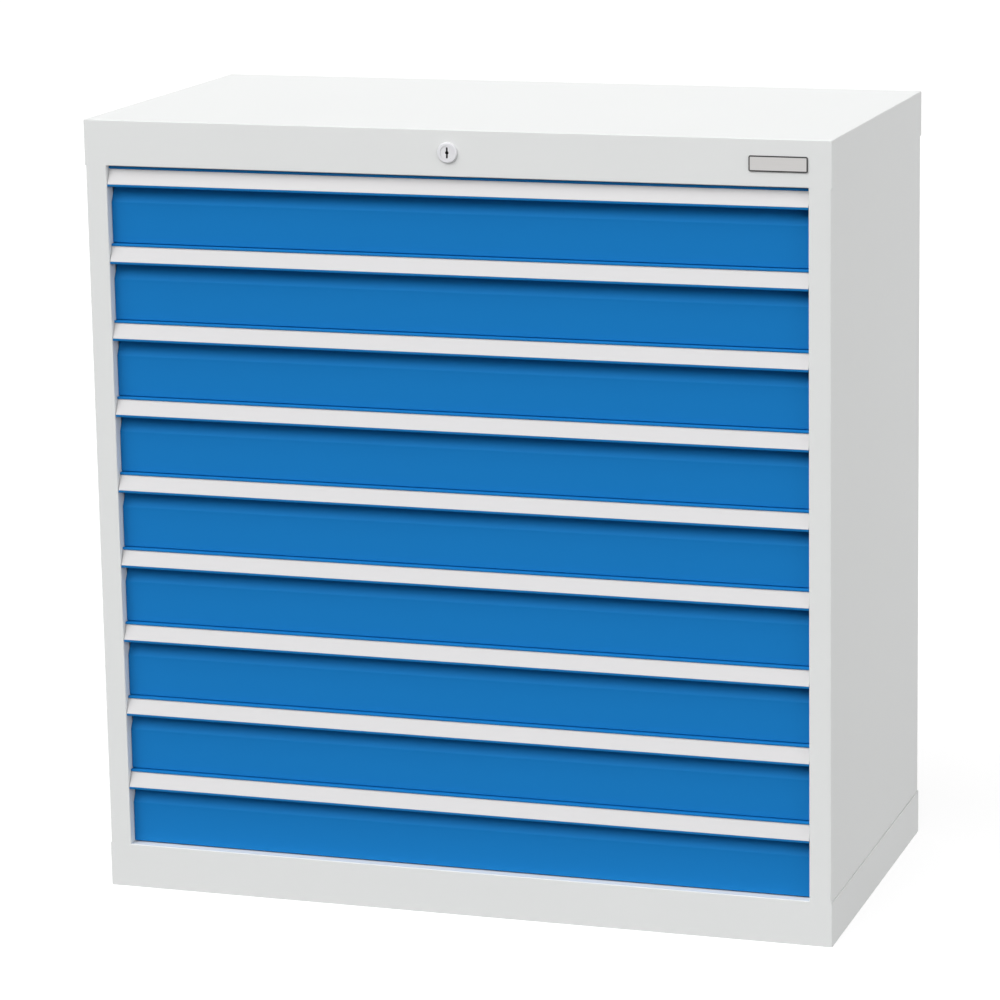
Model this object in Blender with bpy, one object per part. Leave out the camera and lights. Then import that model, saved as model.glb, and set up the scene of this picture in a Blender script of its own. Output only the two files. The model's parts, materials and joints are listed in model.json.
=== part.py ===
"""Industrial drawer cabinet: a folded sheet-steel case with nine drawers on telescopic slides.

Lengths are in metres, +Z is up and the drawers open towards -Y. The origin is on the floor, under
the middle of the whole cabinet. Pieces are drawn in case coordinates: X across, Y as the depth
behind the front plane, Z up. Empties carry them to their places.
"""

import math

import bmesh
import bpy
from mathutils import Vector, geometry

MM = 0.001

# Gaps and fineness
FIT_GAP = 0.3 * MM  # between pieces that touch on the real cabinet
OVERRUN = 5 * MM  # how far a cutter runs past what it cuts
WELD_LAP = 0.4 * MM  # how deep one welded shape sits in the other
BEND_STEPS = 2  # faces round a fold
ROUND_SIDES = 28  # faces round a turned piece
PIN_SIDES = 12

# Case
CASE_WIDTH = 980 * MM
CASE_DEPTH = 500 * MM
LID_HEIGHT = 58.7 * MM
BASE_HEIGHT = 58 * MM
CASE_SHEET = 1 * MM
CASE_BEND = 1 * MM  # inner radius of a fold
CASE_CORNER = 2 * MM  # outer radius where two faces of the case meet
STILE_WIDTH = 28.1 * MM
STILE_RETURN = 18 * MM
REAR_FLANGE = 20 * MM
LID_LIP = 14 * MM
LEDGE_DEPTH = 45 * MM
SHELF_DEPTH = 30 * MM
FOOT_FLANGE = 20 * MM
BASE_CORNER = 0.8 * MM
BACK_FOLD = 12 * MM
FLOOR_DROP = 10 * MM
FLOOR_RIM_START = 24 * MM
FLOOR_SIDE_GAP = 5 * MM
FLOOR_END_GAP = 1 * MM

# Name plate
PLATE_WIDTH = 74 * MM
PLATE_HEIGHT = 19.5 * MM
PLATE_SHEET = 1 * MM
PLATE_CORNER = 2.2 * MM
PLATE_EDGE_GAP = 29.9 * MM  # from the side of the case
PLATE_RISE = 18.6 * MM  # above the lid's lower edge

# Drawers
DRAWER_COUNT = 9
DRAWER_PITCH = 100 * MM
FLOOR_GAP = 1.5 * MM  # under the lowest drawer's space
TOP_GAP = 0.8 * MM  # above the highest drawer's space
SIDE_GAP = 0.5 * MM  # between a front and the stile

# Drawer front
FRONT_SHEET = 1.2 * MM
PANEL_DEPTH = 12.5 * MM  # of the flat panel behind the front plane
HEAD_GAP = 0.7 * MM  # between a front and the one above
FRONT_CORNER = 1 * MM
BEAD_DEPTH = 7 * MM
BEAD_HEIGHT = 2.7 * MM
LIP_HEIGHT = 25.7 * MM  # from the nose's underside to the top
GRIP_FOOT = 52.9 * MM  # where the panel bends back to make room for the fingers
GRIP_RECESS = 10 * MM  # how far it bends back
GRIP_RISE = 18.4 * MM
NOSE_DEPTH = 0.4 * MM
NOSE_HEIGHT = 3 * MM
NOSE_HEM = 3 * MM
STRIP_SHEET = 1 * MM
STRIP_LEAN = 7.9 * MM  # how far its top edge lies behind its bottom edge
STRIP_TOP_GAP = 0.25 * MM
STRIP_PLAY = 0.4 * MM  # between the strip's long edges and the recess

# Drawer tray
TRAY_SHEET = 1 * MM
TRAY_FLOOR = 8 * MM  # above the foot of the drawer's space
TRAY_HEIGHT = 78 * MM
TRAY_LENGTH = 440 * MM
TRAY_HEM = 8 * MM
TRAY_CORNER = 2 * MM
LUG_WIDTH = 8.5 * MM
LUG_HEIGHT = 8 * MM
LUG_SHEET = 2 * MM
LUG_DROP = 1 * MM
LUG_GAP = 1 * MM  # behind the locking bar

# Telescopic slides
SLIDE_LENGTH = 400 * MM
SLIDE_START = 28 * MM
SLIDE_RISE = 38 * MM  # of the slide's middle above the foot of the drawer's space
RAIL_HEIGHT = 45 * MM
RAIL_DEPTH = 11.5 * MM
RAIL_SHEET = 1.5 * MM
RAIL_LIP = 4.5 * MM
SLIDE_SHEET = 1.2 * MM
SLIDE_LIP = 4.6 * MM
SLIDE_BEND = 0.5 * MM
BALL_PLAY = 0.4 * MM  # between members that run on each other
RAIL_PLAY = 1.4 * MM
PASS_GAP = 1 * MM  # between the slides and the stile
TRAY_GAP = 2.4 * MM  # between the rail and the tray
HAT_GAP = 1.4 * MM

# Uprights that carry the slides
UPRIGHT_WIDTH = 26 * MM
UPRIGHT_SHEET = 1.5 * MM
UPRIGHT_INSET = 4 * MM
UPRIGHT_HEAD_GAP = 6 * MM

# Central lock
LOCK_RISE = 30.1 * MM  # of its axis above the lid's lower edge
ROSETTE_DIAMETER = 25.8 * MM
ROSETTE_PROUD = 3 * MM
ROSETTE_RIM = 1 * MM
BARREL_DIAMETER = 22 * MM
PLUG_DIAMETER = 17.4 * MM
PLUG_SUNK = 0.6 * MM
STUB_DIAMETER = 8 * MM
KEY_SLOT_HEIGHT = 14 * MM
KEY_SLOT_WIDTH = 2.2 * MM
KEY_POST_DIAMETER = 4.8 * MM
KEY_DEPTH = 9 * MM
CAM_HUB_DIAMETER = 15 * MM
CAM_TIP_DIAMETER = 9 * MM
CAM_THROW = 10 * MM
CAM_REST_ANGLE = -math.pi / 4  # of its pin from upright, seen from the front
PIN_DIAMETER = 5 * MM
PIN_PLAY = 0.6 * MM
BAR_SHEET = 2 * MM
BAR_CLEARANCE = 1.3 * MM  # behind the drawer fronts
SLOT_WALL = 4 * MM
BAR_WIDTH = 12 * MM
BAR_OFFSET = 1.6 * MM
BAR_FOOT_RISE = 15 * MM
FINGER_HEIGHT = 12 * MM
FINGER_GAP = 3.5 * MM
FINGER_CLEARANCE = 3 * MM
HEAD_PIN_INSET = 6 * MM
HEAD_RISE = 18 * MM
CHANNEL_SHEET = 1.2 * MM
CHANNEL_FLANGE = 32 * MM
GUIDE_HEIGHT = 20 * MM
GUIDE_RISE = 22 * MM
GUIDE_SHEET = 2 * MM
GUIDE_LIP = 8 * MM
GUIDE_DRAWERS = (1, 7)

# Worked out from the sizes above
FIRST_DRAWER = BASE_HEIGHT + FLOOR_GAP
LID_UNDERSIDE = FIRST_DRAWER + DRAWER_COUNT * DRAWER_PITCH + TOP_GAP
CASE_HEIGHT = LID_UNDERSIDE + LID_HEIGHT
BACK_Y = (CASE_DEPTH + ROSETTE_PROUD) / 2
FRONT_Y = BACK_Y - CASE_DEPTH
HALF_WIDTH = CASE_WIDTH / 2
LID_INNER = HALF_WIDTH - CASE_SHEET
BODY_OUTER = LID_INNER - FIT_GAP
BODY_INNER = BODY_OUTER - CASE_SHEET
BODY_BACK = CASE_DEPTH - CASE_SHEET - FIT_GAP
OPENING_HALF = BODY_OUTER - STILE_WIDTH

FRONT_HALF = OPENING_HALF - SIDE_GAP
FRONT_TOP = DRAWER_PITCH - HEAD_GAP
NOSE_FOOT = FRONT_TOP - LIP_HEIGHT
RECESS_DEPTH = PANEL_DEPTH + GRIP_RECESS
FRONT_BACK = RECESS_DEPTH + FRONT_SHEET
TRAY_START = PANEL_DEPTH + FRONT_SHEET + FIT_GAP

SLIDE_OUTER = OPENING_HALF - PASS_GAP
RAIL_OUTER = SLIDE_OUTER + RAIL_PLAY + RAIL_SHEET
RAIL_MOUTH = RAIL_OUTER - RAIL_DEPTH
SLIDE_MOUTH = RAIL_MOUTH + RAIL_SHEET + BALL_PLAY
SLIDE_HALF = RAIL_HEIGHT / 2 - RAIL_SHEET - BALL_PLAY
HAT_TIP = SLIDE_MOUTH + SLIDE_SHEET + BALL_PLAY
HAT_HALF = SLIDE_HALF - SLIDE_SHEET - BALL_PLAY
TRAY_HALF = RAIL_MOUTH - TRAY_GAP
TRAY_TOP = TRAY_FLOOR + TRAY_HEIGHT
UPRIGHT_FACE = RAIL_OUTER - WELD_LAP
UPRIGHT_OUTER = BODY_INNER - FIT_GAP
FRONT_UPRIGHT = SLIDE_START + UPRIGHT_INSET
REAR_UPRIGHT = SLIDE_START + SLIDE_LENGTH - UPRIGHT_INSET - UPRIGHT_WIDTH

LOCK_HEIGHT = LID_UNDERSIDE + LOCK_RISE
BAR_FRONT = FRONT_BACK + BAR_CLEARANCE
BAR_BACK = BAR_FRONT + BAR_SHEET
SLIDE_BAR_FRONT = BAR_BACK + FIT_GAP
SLIDE_BAR_BACK = SLIDE_BAR_FRONT + BAR_SHEET
CHANNEL_FACE = SLIDE_BAR_BACK + FIT_GAP
PIN_RADIUS = PIN_DIAMETER / 2
SLOT_HALF = PIN_RADIUS + PIN_PLAY
CAM_PIN_X = CAM_THROW * math.sin(CAM_REST_ANGLE)
CAM_PIN_RISE = CAM_THROW * math.cos(CAM_REST_ANGLE)
LOCK_TRAVEL = 2 * abs(CAM_PIN_X)
BAR_INNER = RAIL_OUTER + BAR_OFFSET
BAR_OUTER = BAR_INNER + BAR_WIDTH
FINGER_TIP = TRAY_HALF + FINGER_GAP
HEAD_PIN_X = FINGER_TIP + HEAD_PIN_INSET
HEAD_PIN_HEIGHT = LID_UNDERSIDE + HEAD_RISE
LUG_TOP = TRAY_TOP - LUG_DROP
FINGER_TOP = LUG_TOP - LUG_HEIGHT - FINGER_CLEARANCE
SLIDE_BAR_FOOT = HEAD_PIN_HEIGHT - SLOT_HALF - SLOT_WALL
SLIDE_BAR_HEAD = LOCK_HEIGHT + CAM_THROW + SLOT_HALF + SLOT_WALL


def paint(name, colour, roughness, metallic):
    """A surface with this colour, roughness and metallic value."""
    finish = bpy.data.materials.new(name)
    finish.use_nodes = True
    shader = finish.node_tree.nodes["Principled BSDF"]
    shader.inputs["Base Color"].default_value = (*colour, 1)
    shader.inputs["Roughness"].default_value = roughness
    shader.inputs["Metallic"].default_value = metallic
    return finish


def solid(name, shape, finish=None):
    """An object made of a bmesh, with its faces turned outwards."""
    bmesh.ops.recalc_face_normals(shape, faces=shape.faces)
    mesh = bpy.data.meshes.new(name)
    shape.to_mesh(mesh)
    shape.free()
    if finish:
        mesh.materials.append(finish)
    made = bpy.data.objects.new(name, mesh)
    bpy.context.collection.objects.link(made)
    return made


def prism(name, outline, axis, low, high, finish=None):
    """A closed outline in the two other axes, swept along X, Y or Z from low to high."""
    shape = bmesh.new()
    ends = []
    for along in (low, high):
        ring = []
        for point in outline:
            place = list(point)
            place.insert("XYZ".index(axis), along)
            ring.append(shape.verts.new(place))
        ends.append(ring)
    start, end = ends
    shape.faces.new(start)
    shape.faces.new(reversed(end))
    for i, corner in enumerate(start):
        shape.faces.new((start[i - 1], end[i - 1], end[i], corner))
    return solid(name, shape, finish)


def rectangle(low, high):
    return [(low[0], low[1]), (high[0], low[1]), (high[0], high[1]), (low[0], high[1])]


def block(name, low, high, finish=None, radius=0, top=False, foot=False):
    """A box whose upright edges, and top or foot edges where asked, are rounded."""
    shape = bmesh.new()
    bmesh.ops.create_cube(shape, size=1)
    for vertex in shape.verts:
        vertex.co = [h if c > 0 else l for c, l, h in zip(vertex.co, low, high)]
    if radius:
        middle = (low[2] + high[2]) / 2
        chosen = []
        for edge in shape.edges:
            above = [vertex.co.z > middle for vertex in edge.verts]
            wanted = foot if not any(above) else top if all(above) else True
            if wanted:
                chosen.append(edge)
        bmesh.ops.bevel(shape, geom=chosen, offset=radius, segments=BEND_STEPS, profile=0.5,
                        affect="EDGES")
    return solid(name, shape, finish)


def arc(before, corner, after, radius):
    """The points that round this corner off."""
    back = (Vector(before) - Vector(corner)).normalized()
    on = (Vector(after) - Vector(corner)).normalized()
    half = back.angle(on) / 2
    centre = Vector(corner) + (back + on).normalized() * (radius / math.sin(half))
    start = Vector(corner) + back * (radius / math.tan(half)) - centre
    turn = math.pi - 2 * half
    side = 1 if start.y * back.x - start.x * back.y > 0 else -1
    points = []
    for step in range(BEND_STEPS + 1):
        angle = side * turn * step / BEND_STEPS
        across = Vector((-start.y, start.x))
        points.append(tuple(centre + start * math.cos(angle) + across * math.sin(angle)))
    return points


def rounded(corners):
    """A closed outline from its corners, each a point and the radius that rounds it."""
    outline = []
    for i, (point, radius) in enumerate(corners):
        before = corners[i - 1][0]
        after = corners[(i + 1) % len(corners)][0]
        outline += arc(before, point, after, radius) if radius else [tuple(point)]
    return outline


def folded(path, sheet, bend):
    """The section of a folded sheet, from the path along the middle of its thickness."""
    points = [Vector(point) for point in path]
    left, right = [], []
    for i, point in enumerate(points):
        behind = (points[max(i, 1)] - points[max(i - 1, 0)]).normalized()
        ahead = (points[min(i + 1, len(points) - 1)] - points[min(i, len(points) - 2)]).normalized()
        across = Vector((-(behind + ahead).y, (behind + ahead).x)).normalized()
        reach = sheet / 2 / across.dot(Vector((-ahead.y, ahead.x)))
        turn = behind.x * ahead.y - behind.y * ahead.x
        inside, outside = bend, bend + sheet
        if i in (0, len(points) - 1):
            inside = outside = 0
        left.append((point + across * reach, inside if turn > 0 else outside))
        right.append((point - across * reach, outside if turn > 0 else inside))
    return rounded(left + right[::-1])


def circle(centre, radius, sides):
    """A closed ring of points."""
    ring = []
    for i in range(sides):
        angle = 2 * math.pi * i / sides
        ring.append((centre[0] + radius * math.cos(angle), centre[1] + radius * math.sin(angle)))
    return ring


def link(first, first_radius, second, second_radius):
    """The outline round two circles and the straight sides that join them."""
    points = circle(first, first_radius, ROUND_SIDES) + circle(second, second_radius, ROUND_SIDES)
    return [points[i] for i in geometry.convex_hull_2d(points)]


def turned(name, profile, finish):
    """A round piece along Y, from a closed profile of radius and depth that stays off the axis."""
    shape = bmesh.new()
    rings = []
    for i in range(ROUND_SIDES):
        angle = 2 * math.pi * i / ROUND_SIDES
        ring = [shape.verts.new((r * math.cos(angle), d, r * math.sin(angle))) for r, d in profile]
        rings.append(ring)
    for i, ring in enumerate(rings):
        for j, corner in enumerate(ring):
            shape.faces.new((rings[i - 1][j - 1], rings[i - 1][j], corner, ring[j - 1]))
    made = solid(name, shape, finish)
    smooth(made)
    return made


def smooth(made):
    made.data.shade_smooth()
    made.data.set_sharp_from_angle(angle=math.radians(35))


def join(target, tool):
    combine(target, tool, "UNION")


def cut(target, tool):
    combine(target, tool, "DIFFERENCE")


def combine(target, tool, operation):
    """Joins a hidden helper to the target, or cuts it out."""
    step = target.modifiers.new(tool.name, "BOOLEAN")
    step.operation = operation
    step.object = tool
    tool.hide_render = True
    tool.display_type = "WIRE"
    tool.parent = target.parent


def baked(pattern):
    """The finished mesh of a pattern, for the pieces that repeat it. The pattern goes."""
    bpy.context.view_layer.update()
    graph = bpy.context.evaluated_depsgraph_get()
    mesh = bpy.data.meshes.new_from_object(pattern.evaluated_get(graph))
    helpers = [step.object for step in pattern.modifiers]
    for helper in helpers + [pattern]:
        bpy.data.objects.remove(helper)
    return mesh


def mirrored(mesh):
    """A copy of a mesh for the other side of the cabinet."""
    shape = bmesh.new()
    shape.from_mesh(mesh)
    for vertex in shape.verts:
        vertex.co.x = -vertex.co.x
    bmesh.ops.reverse_faces(shape, faces=shape.faces)
    other = mesh.copy()
    shape.to_mesh(other)
    shape.free()
    return other


def carrier(name, place, parent=None):
    """An empty that carries pieces and stands on their joint's axis."""
    empty = bpy.data.objects.new(name, None)
    empty.location = place
    empty.parent = parent
    bpy.context.collection.objects.link(empty)
    return empty


def placed(name, mesh, parent):
    """A piece that shows this mesh and rides on its carrier."""
    made = bpy.data.objects.new(name, mesh)
    made.parent = parent
    bpy.context.collection.objects.link(made)
    return made


def top_cover(finish, case):
    """The lid: a tray turned over the case, whose front wall is the top rail."""
    lid = block("top_cover", (-HALF_WIDTH, 0, LID_UNDERSIDE), (HALF_WIDTH, CASE_DEPTH, CASE_HEIGHT),
                finish, CASE_CORNER, top=True)
    below = LID_UNDERSIDE - OVERRUN
    hollow = [
        (LID_LIP, below),
        (CASE_DEPTH - CASE_SHEET, below),
        (CASE_DEPTH - CASE_SHEET, CASE_HEIGHT - CASE_SHEET),
        (CASE_SHEET, CASE_HEIGHT - CASE_SHEET),
        (CASE_SHEET, LID_UNDERSIDE + CASE_SHEET),
        (LID_LIP, LID_UNDERSIDE + CASE_SHEET),
    ]
    cut(lid, prism("lid_hollow", hollow, "X", -LID_INNER, LID_INNER))
    hole = circle((0, LOCK_HEIGHT), BARREL_DIAMETER / 2 + FIT_GAP, ROUND_SIDES)
    cut(lid, prism("lock_hole", hole, "Y", -OVERRUN, CASE_SHEET + OVERRUN))
    placed("top_cover", baked(lid), case)


def side_panels(finish, case):
    """Each side with its front stile, the stile's return and the rear flange, folded in one."""
    half = CASE_SHEET / 2
    plan = [
        (OPENING_HALF + half, STILE_RETURN),
        (OPENING_HALF + half, half),
        (BODY_OUTER - half, half),
        (BODY_OUTER - half, BODY_BACK - half),
        (BODY_OUTER - REAR_FLANGE, BODY_BACK - half),
    ]
    foot = BASE_HEIGHT + FIT_GAP
    head = CASE_HEIGHT - CASE_SHEET - FIT_GAP
    panel = prism("side_panel", folded(plan, CASE_SHEET, CASE_BEND), "Z", foot, head, finish)
    notch = [
        (OPENING_HALF - OVERRUN, -OVERRUN),
        (BODY_OUTER + OVERRUN, -OVERRUN),
        (BODY_OUTER + OVERRUN, LID_LIP + FIT_GAP),
        (BODY_INNER - FIT_GAP, LID_LIP + FIT_GAP),
        (BODY_INNER - FIT_GAP, STILE_RETURN + OVERRUN),
        (OPENING_HALF - OVERRUN, STILE_RETURN + OVERRUN),
    ]
    cut(panel, prism("lid_notch", notch, "Z", LID_UNDERSIDE - FIT_GAP, head + OVERRUN))
    mesh = baked(panel)
    placed("side_panel_right", mesh, case)
    placed("side_panel_left", mirrored(mesh), case)


def base_plinth(finish, case):
    """The base: a folded ring with a ledge at the front, shelves round the top and feet flanges."""
    plinth = block("base_plinth", (-HALF_WIDTH, 0, 0), (HALF_WIDTH, CASE_DEPTH, BASE_HEIGHT),
                   finish, BASE_CORNER, top=True)
    hollow_low = (-LID_INNER, CASE_SHEET, CASE_SHEET)
    hollow_high = (LID_INNER, CASE_DEPTH - CASE_SHEET, BASE_HEIGHT - CASE_SHEET)
    cut(plinth, block("plinth_hollow", hollow_low, hollow_high))
    shelf = HALF_WIDTH - SHELF_DEPTH
    middle = BASE_HEIGHT / 2
    cut(plinth, block("plinth_mouth", (-shelf, LEDGE_DEPTH, middle),
                      (shelf, CASE_DEPTH - SHELF_DEPTH, BASE_HEIGHT + OVERRUN)))
    foot = HALF_WIDTH - FOOT_FLANGE
    cut(plinth, block("plinth_underside", (-foot, FOOT_FLANGE, -OVERRUN),
                      (foot, CASE_DEPTH - FOOT_FLANGE, middle)))
    placed("base_plinth", baked(plinth), case)


def bottom_panel(finish, case):
    """The floor under the lowest drawer: its rims lie on the base and its middle is dropped."""
    half = CASE_SHEET / 2
    rim = BASE_HEIGHT + FIT_GAP + half
    front_step = LEDGE_DEPTH + FLOOR_END_GAP + half
    rear_step = CASE_DEPTH - SHELF_DEPTH - FLOOR_END_GAP - half
    rear_end = BODY_BACK - 2 * CASE_SHEET - 2 * FIT_GAP
    section = [
        (FLOOR_RIM_START, rim),
        (front_step, rim),
        (front_step, rim - FLOOR_DROP),
        (rear_step, rim - FLOOR_DROP),
        (rear_step, rim),
        (rear_end, rim),
    ]
    reach = HALF_WIDTH - SHELF_DEPTH - FLOOR_SIDE_GAP
    floor = prism("bottom_panel", folded(section, CASE_SHEET, CASE_BEND), "X", -reach, reach, finish)
    floor.parent = case


def back_panel(finish, case):
    """The rear wall, with its upright edges folded forward, in front of the side flanges."""
    half = CASE_SHEET / 2
    edge = BODY_INNER - FIT_GAP - half
    face = BODY_BACK - CASE_SHEET - FIT_GAP - half
    plan = [(-edge, face - BACK_FOLD), (-edge, face), (edge, face), (edge, face - BACK_FOLD)]
    wall = prism("back_panel", folded(plan, CASE_SHEET, CASE_BEND), "Z", BASE_HEIGHT + FIT_GAP,
                 CASE_HEIGHT - CASE_SHEET - FIT_GAP, finish)
    wall.parent = case


def name_plate(finish, case):
    """A bare plate on the top rail."""
    high = HALF_WIDTH - PLATE_EDGE_GAP
    foot = LID_UNDERSIDE + PLATE_RISE
    corners = rectangle((high - PLATE_WIDTH, foot), (high, foot + PLATE_HEIGHT))
    outline = rounded([(corner, PLATE_CORNER) for corner in corners])
    plate = prism("name_plate", outline, "Y", -FIT_GAP - PLATE_SHEET, -FIT_GAP, finish)
    plate.parent = case


def channel_section(mouth, outer, half_height, sheet, lip):
    """A slide member's section in X and Z: a channel open towards the drawer, with lips."""
    half = sheet / 2
    path = [
        (mouth + half, half_height - lip),
        (mouth + half, half_height - half),
        (outer - half, half_height - half),
        (outer - half, half - half_height),
        (mouth + half, half - half_height),
        (mouth + half, lip - half_height),
    ]
    return folded(path, sheet, SLIDE_BEND)


def shifted(outline, across, up):
    return [(x + across, z + up) for x, z in outline]


def runner_frames(finish, case):
    """On each side nine fixed rails welded to a front and a rear upright."""
    foot = BASE_HEIGHT + FIT_GAP
    head = LID_UNDERSIDE - UPRIGHT_HEAD_GAP
    half = UPRIGHT_SHEET / 2
    parts = []
    for start in (FRONT_UPRIGHT, REAR_UPRIGHT):
        plan = [
            (UPRIGHT_OUTER, start + half),
            (UPRIGHT_FACE + half, start + half),
            (UPRIGHT_FACE + half, start + UPRIGHT_WIDTH - half),
            (UPRIGHT_OUTER, start + UPRIGHT_WIDTH - half),
        ]
        section = folded(plan, UPRIGHT_SHEET, CASE_BEND)
        parts.append(prism("upright", section, "Z", foot, head, finish))
    section = channel_section(RAIL_MOUTH, RAIL_OUTER, RAIL_HEIGHT / 2, RAIL_SHEET, RAIL_LIP)
    for i in range(DRAWER_COUNT):
        middle = FIRST_DRAWER + i * DRAWER_PITCH + SLIDE_RISE
        parts.append(prism("rail", shifted(section, 0, middle), "Y", SLIDE_START,
                           SLIDE_START + SLIDE_LENGTH))
    frame = parts[0]
    for part in parts[1:]:
        join(frame, part)
    mesh = baked(frame)
    placed("runner_frame_left", mirrored(mesh), case)

    right = placed("right_frame", mesh, case)
    outer = BAR_OUTER + FIT_GAP + GUIDE_SHEET
    lip = BAR_FRONT - FIT_GAP
    back = FRONT_UPRIGHT + WELD_LAP
    guide = [
        (BAR_INNER, back),
        (BAR_INNER, BAR_BACK + FIT_GAP),
        (BAR_OUTER + FIT_GAP, BAR_BACK + FIT_GAP),
        (BAR_OUTER + FIT_GAP, lip),
        (outer - GUIDE_LIP, lip),
        (outer - GUIDE_LIP, lip - GUIDE_SHEET),
        (outer, lip - GUIDE_SHEET),
        (outer, back),
    ]
    for i in GUIDE_DRAWERS:
        foot = FIRST_DRAWER + i * DRAWER_PITCH + GUIDE_RISE
        join(right, prism("bar_guide", guide, "Z", foot, foot + GUIDE_HEIGHT))
    placed("runner_frame_right", baked(right), case)


def top_crossmember(finish, case):
    """A folded rail under the lid that stiffens it and carries the lock's slide bar."""
    half = CHANNEL_SHEET / 2
    shelf = SLIDE_BAR_FOOT - FIT_GAP - half
    web = CHANNEL_FACE + half
    top = CASE_HEIGHT - CASE_SHEET - FIT_GAP - half
    section = [(SLIDE_BAR_FRONT, shelf), (web, shelf), (web, top), (web + CHANNEL_FLANGE, top)]
    reach = BODY_INNER - FIT_GAP
    rail = prism("top_crossmember", folded(section, CHANNEL_SHEET, CASE_BEND), "X", -reach, reach,
                 finish)
    rail.parent = case


def drawer_front(finish):
    """The front: a pan, bent back for the fingers, whose top is rolled forward into a grip."""
    nose_top = NOSE_FOOT + NOSE_HEIGHT
    bead_foot = FRONT_TOP - BEAD_HEIGHT
    strip_low, strip_high, up, out = strip_line()
    recess = out * (STRIP_SHEET + FIT_GAP)
    skin = recess + out * FRONT_SHEET
    inner_top = FRONT_TOP - FRONT_SHEET
    corners = [
        ((FRONT_BACK, 0), 0),
        ((PANEL_DEPTH, 0), FRONT_CORNER),
        ((PANEL_DEPTH, GRIP_FOOT), 0),
        ((RECESS_DEPTH, GRIP_FOOT + GRIP_RISE), 0),
        ((RECESS_DEPTH, inner_top), 0),
        (on_line(strip_low - skin, up, inner_top), 0),
        (on_line(strip_low - skin, up, nose_top), 0),
        ((NOSE_DEPTH + NOSE_HEM, NOSE_FOOT), 0),
        ((NOSE_DEPTH, NOSE_FOOT), FRONT_SHEET),
        ((NOSE_DEPTH, nose_top), 0),
        (tuple(strip_low - recess - up * STRIP_PLAY), 0),
        (tuple(strip_high - recess + up * STRIP_PLAY), 0),
        ((BEAD_DEPTH, bead_foot), 0),
        ((BEAD_DEPTH, FRONT_TOP), FRONT_CORNER),
        ((FRONT_BACK, FRONT_TOP), 0),
    ]
    front = prism("drawer_front", rounded(corners), "X", -FRONT_HALF, FRONT_HALF, finish)
    inner = FRONT_HALF - FRONT_SHEET
    skin_back = PANEL_DEPTH + FRONT_SHEET
    beyond = FRONT_BACK + OVERRUN
    pocket = [
        (skin_back, FRONT_SHEET),
        (beyond, FRONT_SHEET),
        behind_recess(FRONT_SHEET, beyond),
        behind_recess(FRONT_SHEET, skin_back),
    ]
    cut(front, prism("front_pocket", pocket, "X", -inner, inner))
    return baked(front)


def behind_recess(gap, depth):
    """The point at a depth on the line this far behind the sheet that bends back for the fingers."""
    slope = Vector((GRIP_RECESS, GRIP_RISE)).normalized()
    start = Vector((PANEL_DEPTH, GRIP_FOOT)) + Vector((slope.y, -slope.x)) * gap
    return tuple(start + slope * ((depth - start.x) / slope.x))


def on_line(start, direction, height):
    """The point of this line at a height."""
    return tuple(start + direction * ((height - start.y) / direction.y))


def strip_line():
    """The strip's visible face in depth and height: its ends, its direction and its outward normal."""
    low = Vector((NOSE_DEPTH, NOSE_FOOT + NOSE_HEIGHT))
    high = Vector((NOSE_DEPTH + STRIP_LEAN, FRONT_TOP - BEAD_HEIGHT - STRIP_TOP_GAP))
    up = (high - low).normalized()
    return low, high, up, Vector((-up.y, up.x))


def grip_strip(finish):
    """The label strip in the grip's recess."""
    low, high, up, out = strip_line()
    low = low + up * STRIP_PLAY
    high = high - up * STRIP_PLAY
    outline = [tuple(low), tuple(high), tuple(high - out * STRIP_SHEET), tuple(low - out * STRIP_SHEET)]
    return baked(prism("grip_strip", outline, "X", -FRONT_HALF, FRONT_HALF, finish))


def drawer_tray(finish):
    """The tray: an open pan with a hem, the drawer members of both slides and the lock's lug."""
    end = TRAY_START + TRAY_LENGTH
    tray = block("drawer_tray", (-TRAY_HALF, TRAY_START, TRAY_FLOOR), (TRAY_HALF, end, TRAY_TOP),
                 finish, TRAY_CORNER, foot=True)
    inner = TRAY_HALF - TRAY_SHEET
    start = TRAY_START + TRAY_SHEET
    cut(tray, block("tray_hollow", (-inner, start, TRAY_FLOOR + TRAY_SHEET),
                    (inner, end - TRAY_SHEET, TRAY_TOP - TRAY_SHEET)))
    mouth = inner - TRAY_HEM
    cut(tray, block("tray_mouth", (-mouth, start + TRAY_HEM, TRAY_FLOOR + TRAY_HEIGHT / 2),
                    (mouth, end - TRAY_SHEET - TRAY_HEM, TRAY_TOP + OVERRUN)))
    clear = FRONT_BACK + FIT_GAP
    before = TRAY_START - OVERRUN
    room = [
        behind_recess(FRONT_SHEET + FIT_GAP, before),
        behind_recess(FRONT_SHEET + FIT_GAP, clear),
        (clear, TRAY_TOP + OVERRUN),
        (before, TRAY_TOP + OVERRUN),
    ]
    cut(tray, prism("front_room", room, "X", -FRONT_HALF, FRONT_HALF))
    half = SLIDE_SHEET / 2
    leg = SLIDE_HALF - SLIDE_LIP - HAT_GAP
    hat = [
        (HAT_TIP + half, HAT_HALF),
        (HAT_TIP + half, leg),
        (TRAY_HALF, leg),
        (TRAY_HALF, -leg),
        (HAT_TIP + half, -leg),
        (HAT_TIP + half, -HAT_HALF),
    ]
    section = shifted(folded(hat, SLIDE_SHEET, SLIDE_BEND), 0, SLIDE_RISE)
    other = [(-x, z) for x, z in section]
    for outline in (section, other):
        join(tray, prism("drawer_member", outline, "Y", SLIDE_START, SLIDE_START + SLIDE_LENGTH))
    lug = BAR_BACK + LUG_GAP
    join(tray, block("lock_lug", (TRAY_HALF - TRAY_SHEET / 2, lug, LUG_TOP - LUG_HEIGHT),
                     (TRAY_HALF + LUG_WIDTH, lug + LUG_SHEET, LUG_TOP)))
    return baked(tray)


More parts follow.
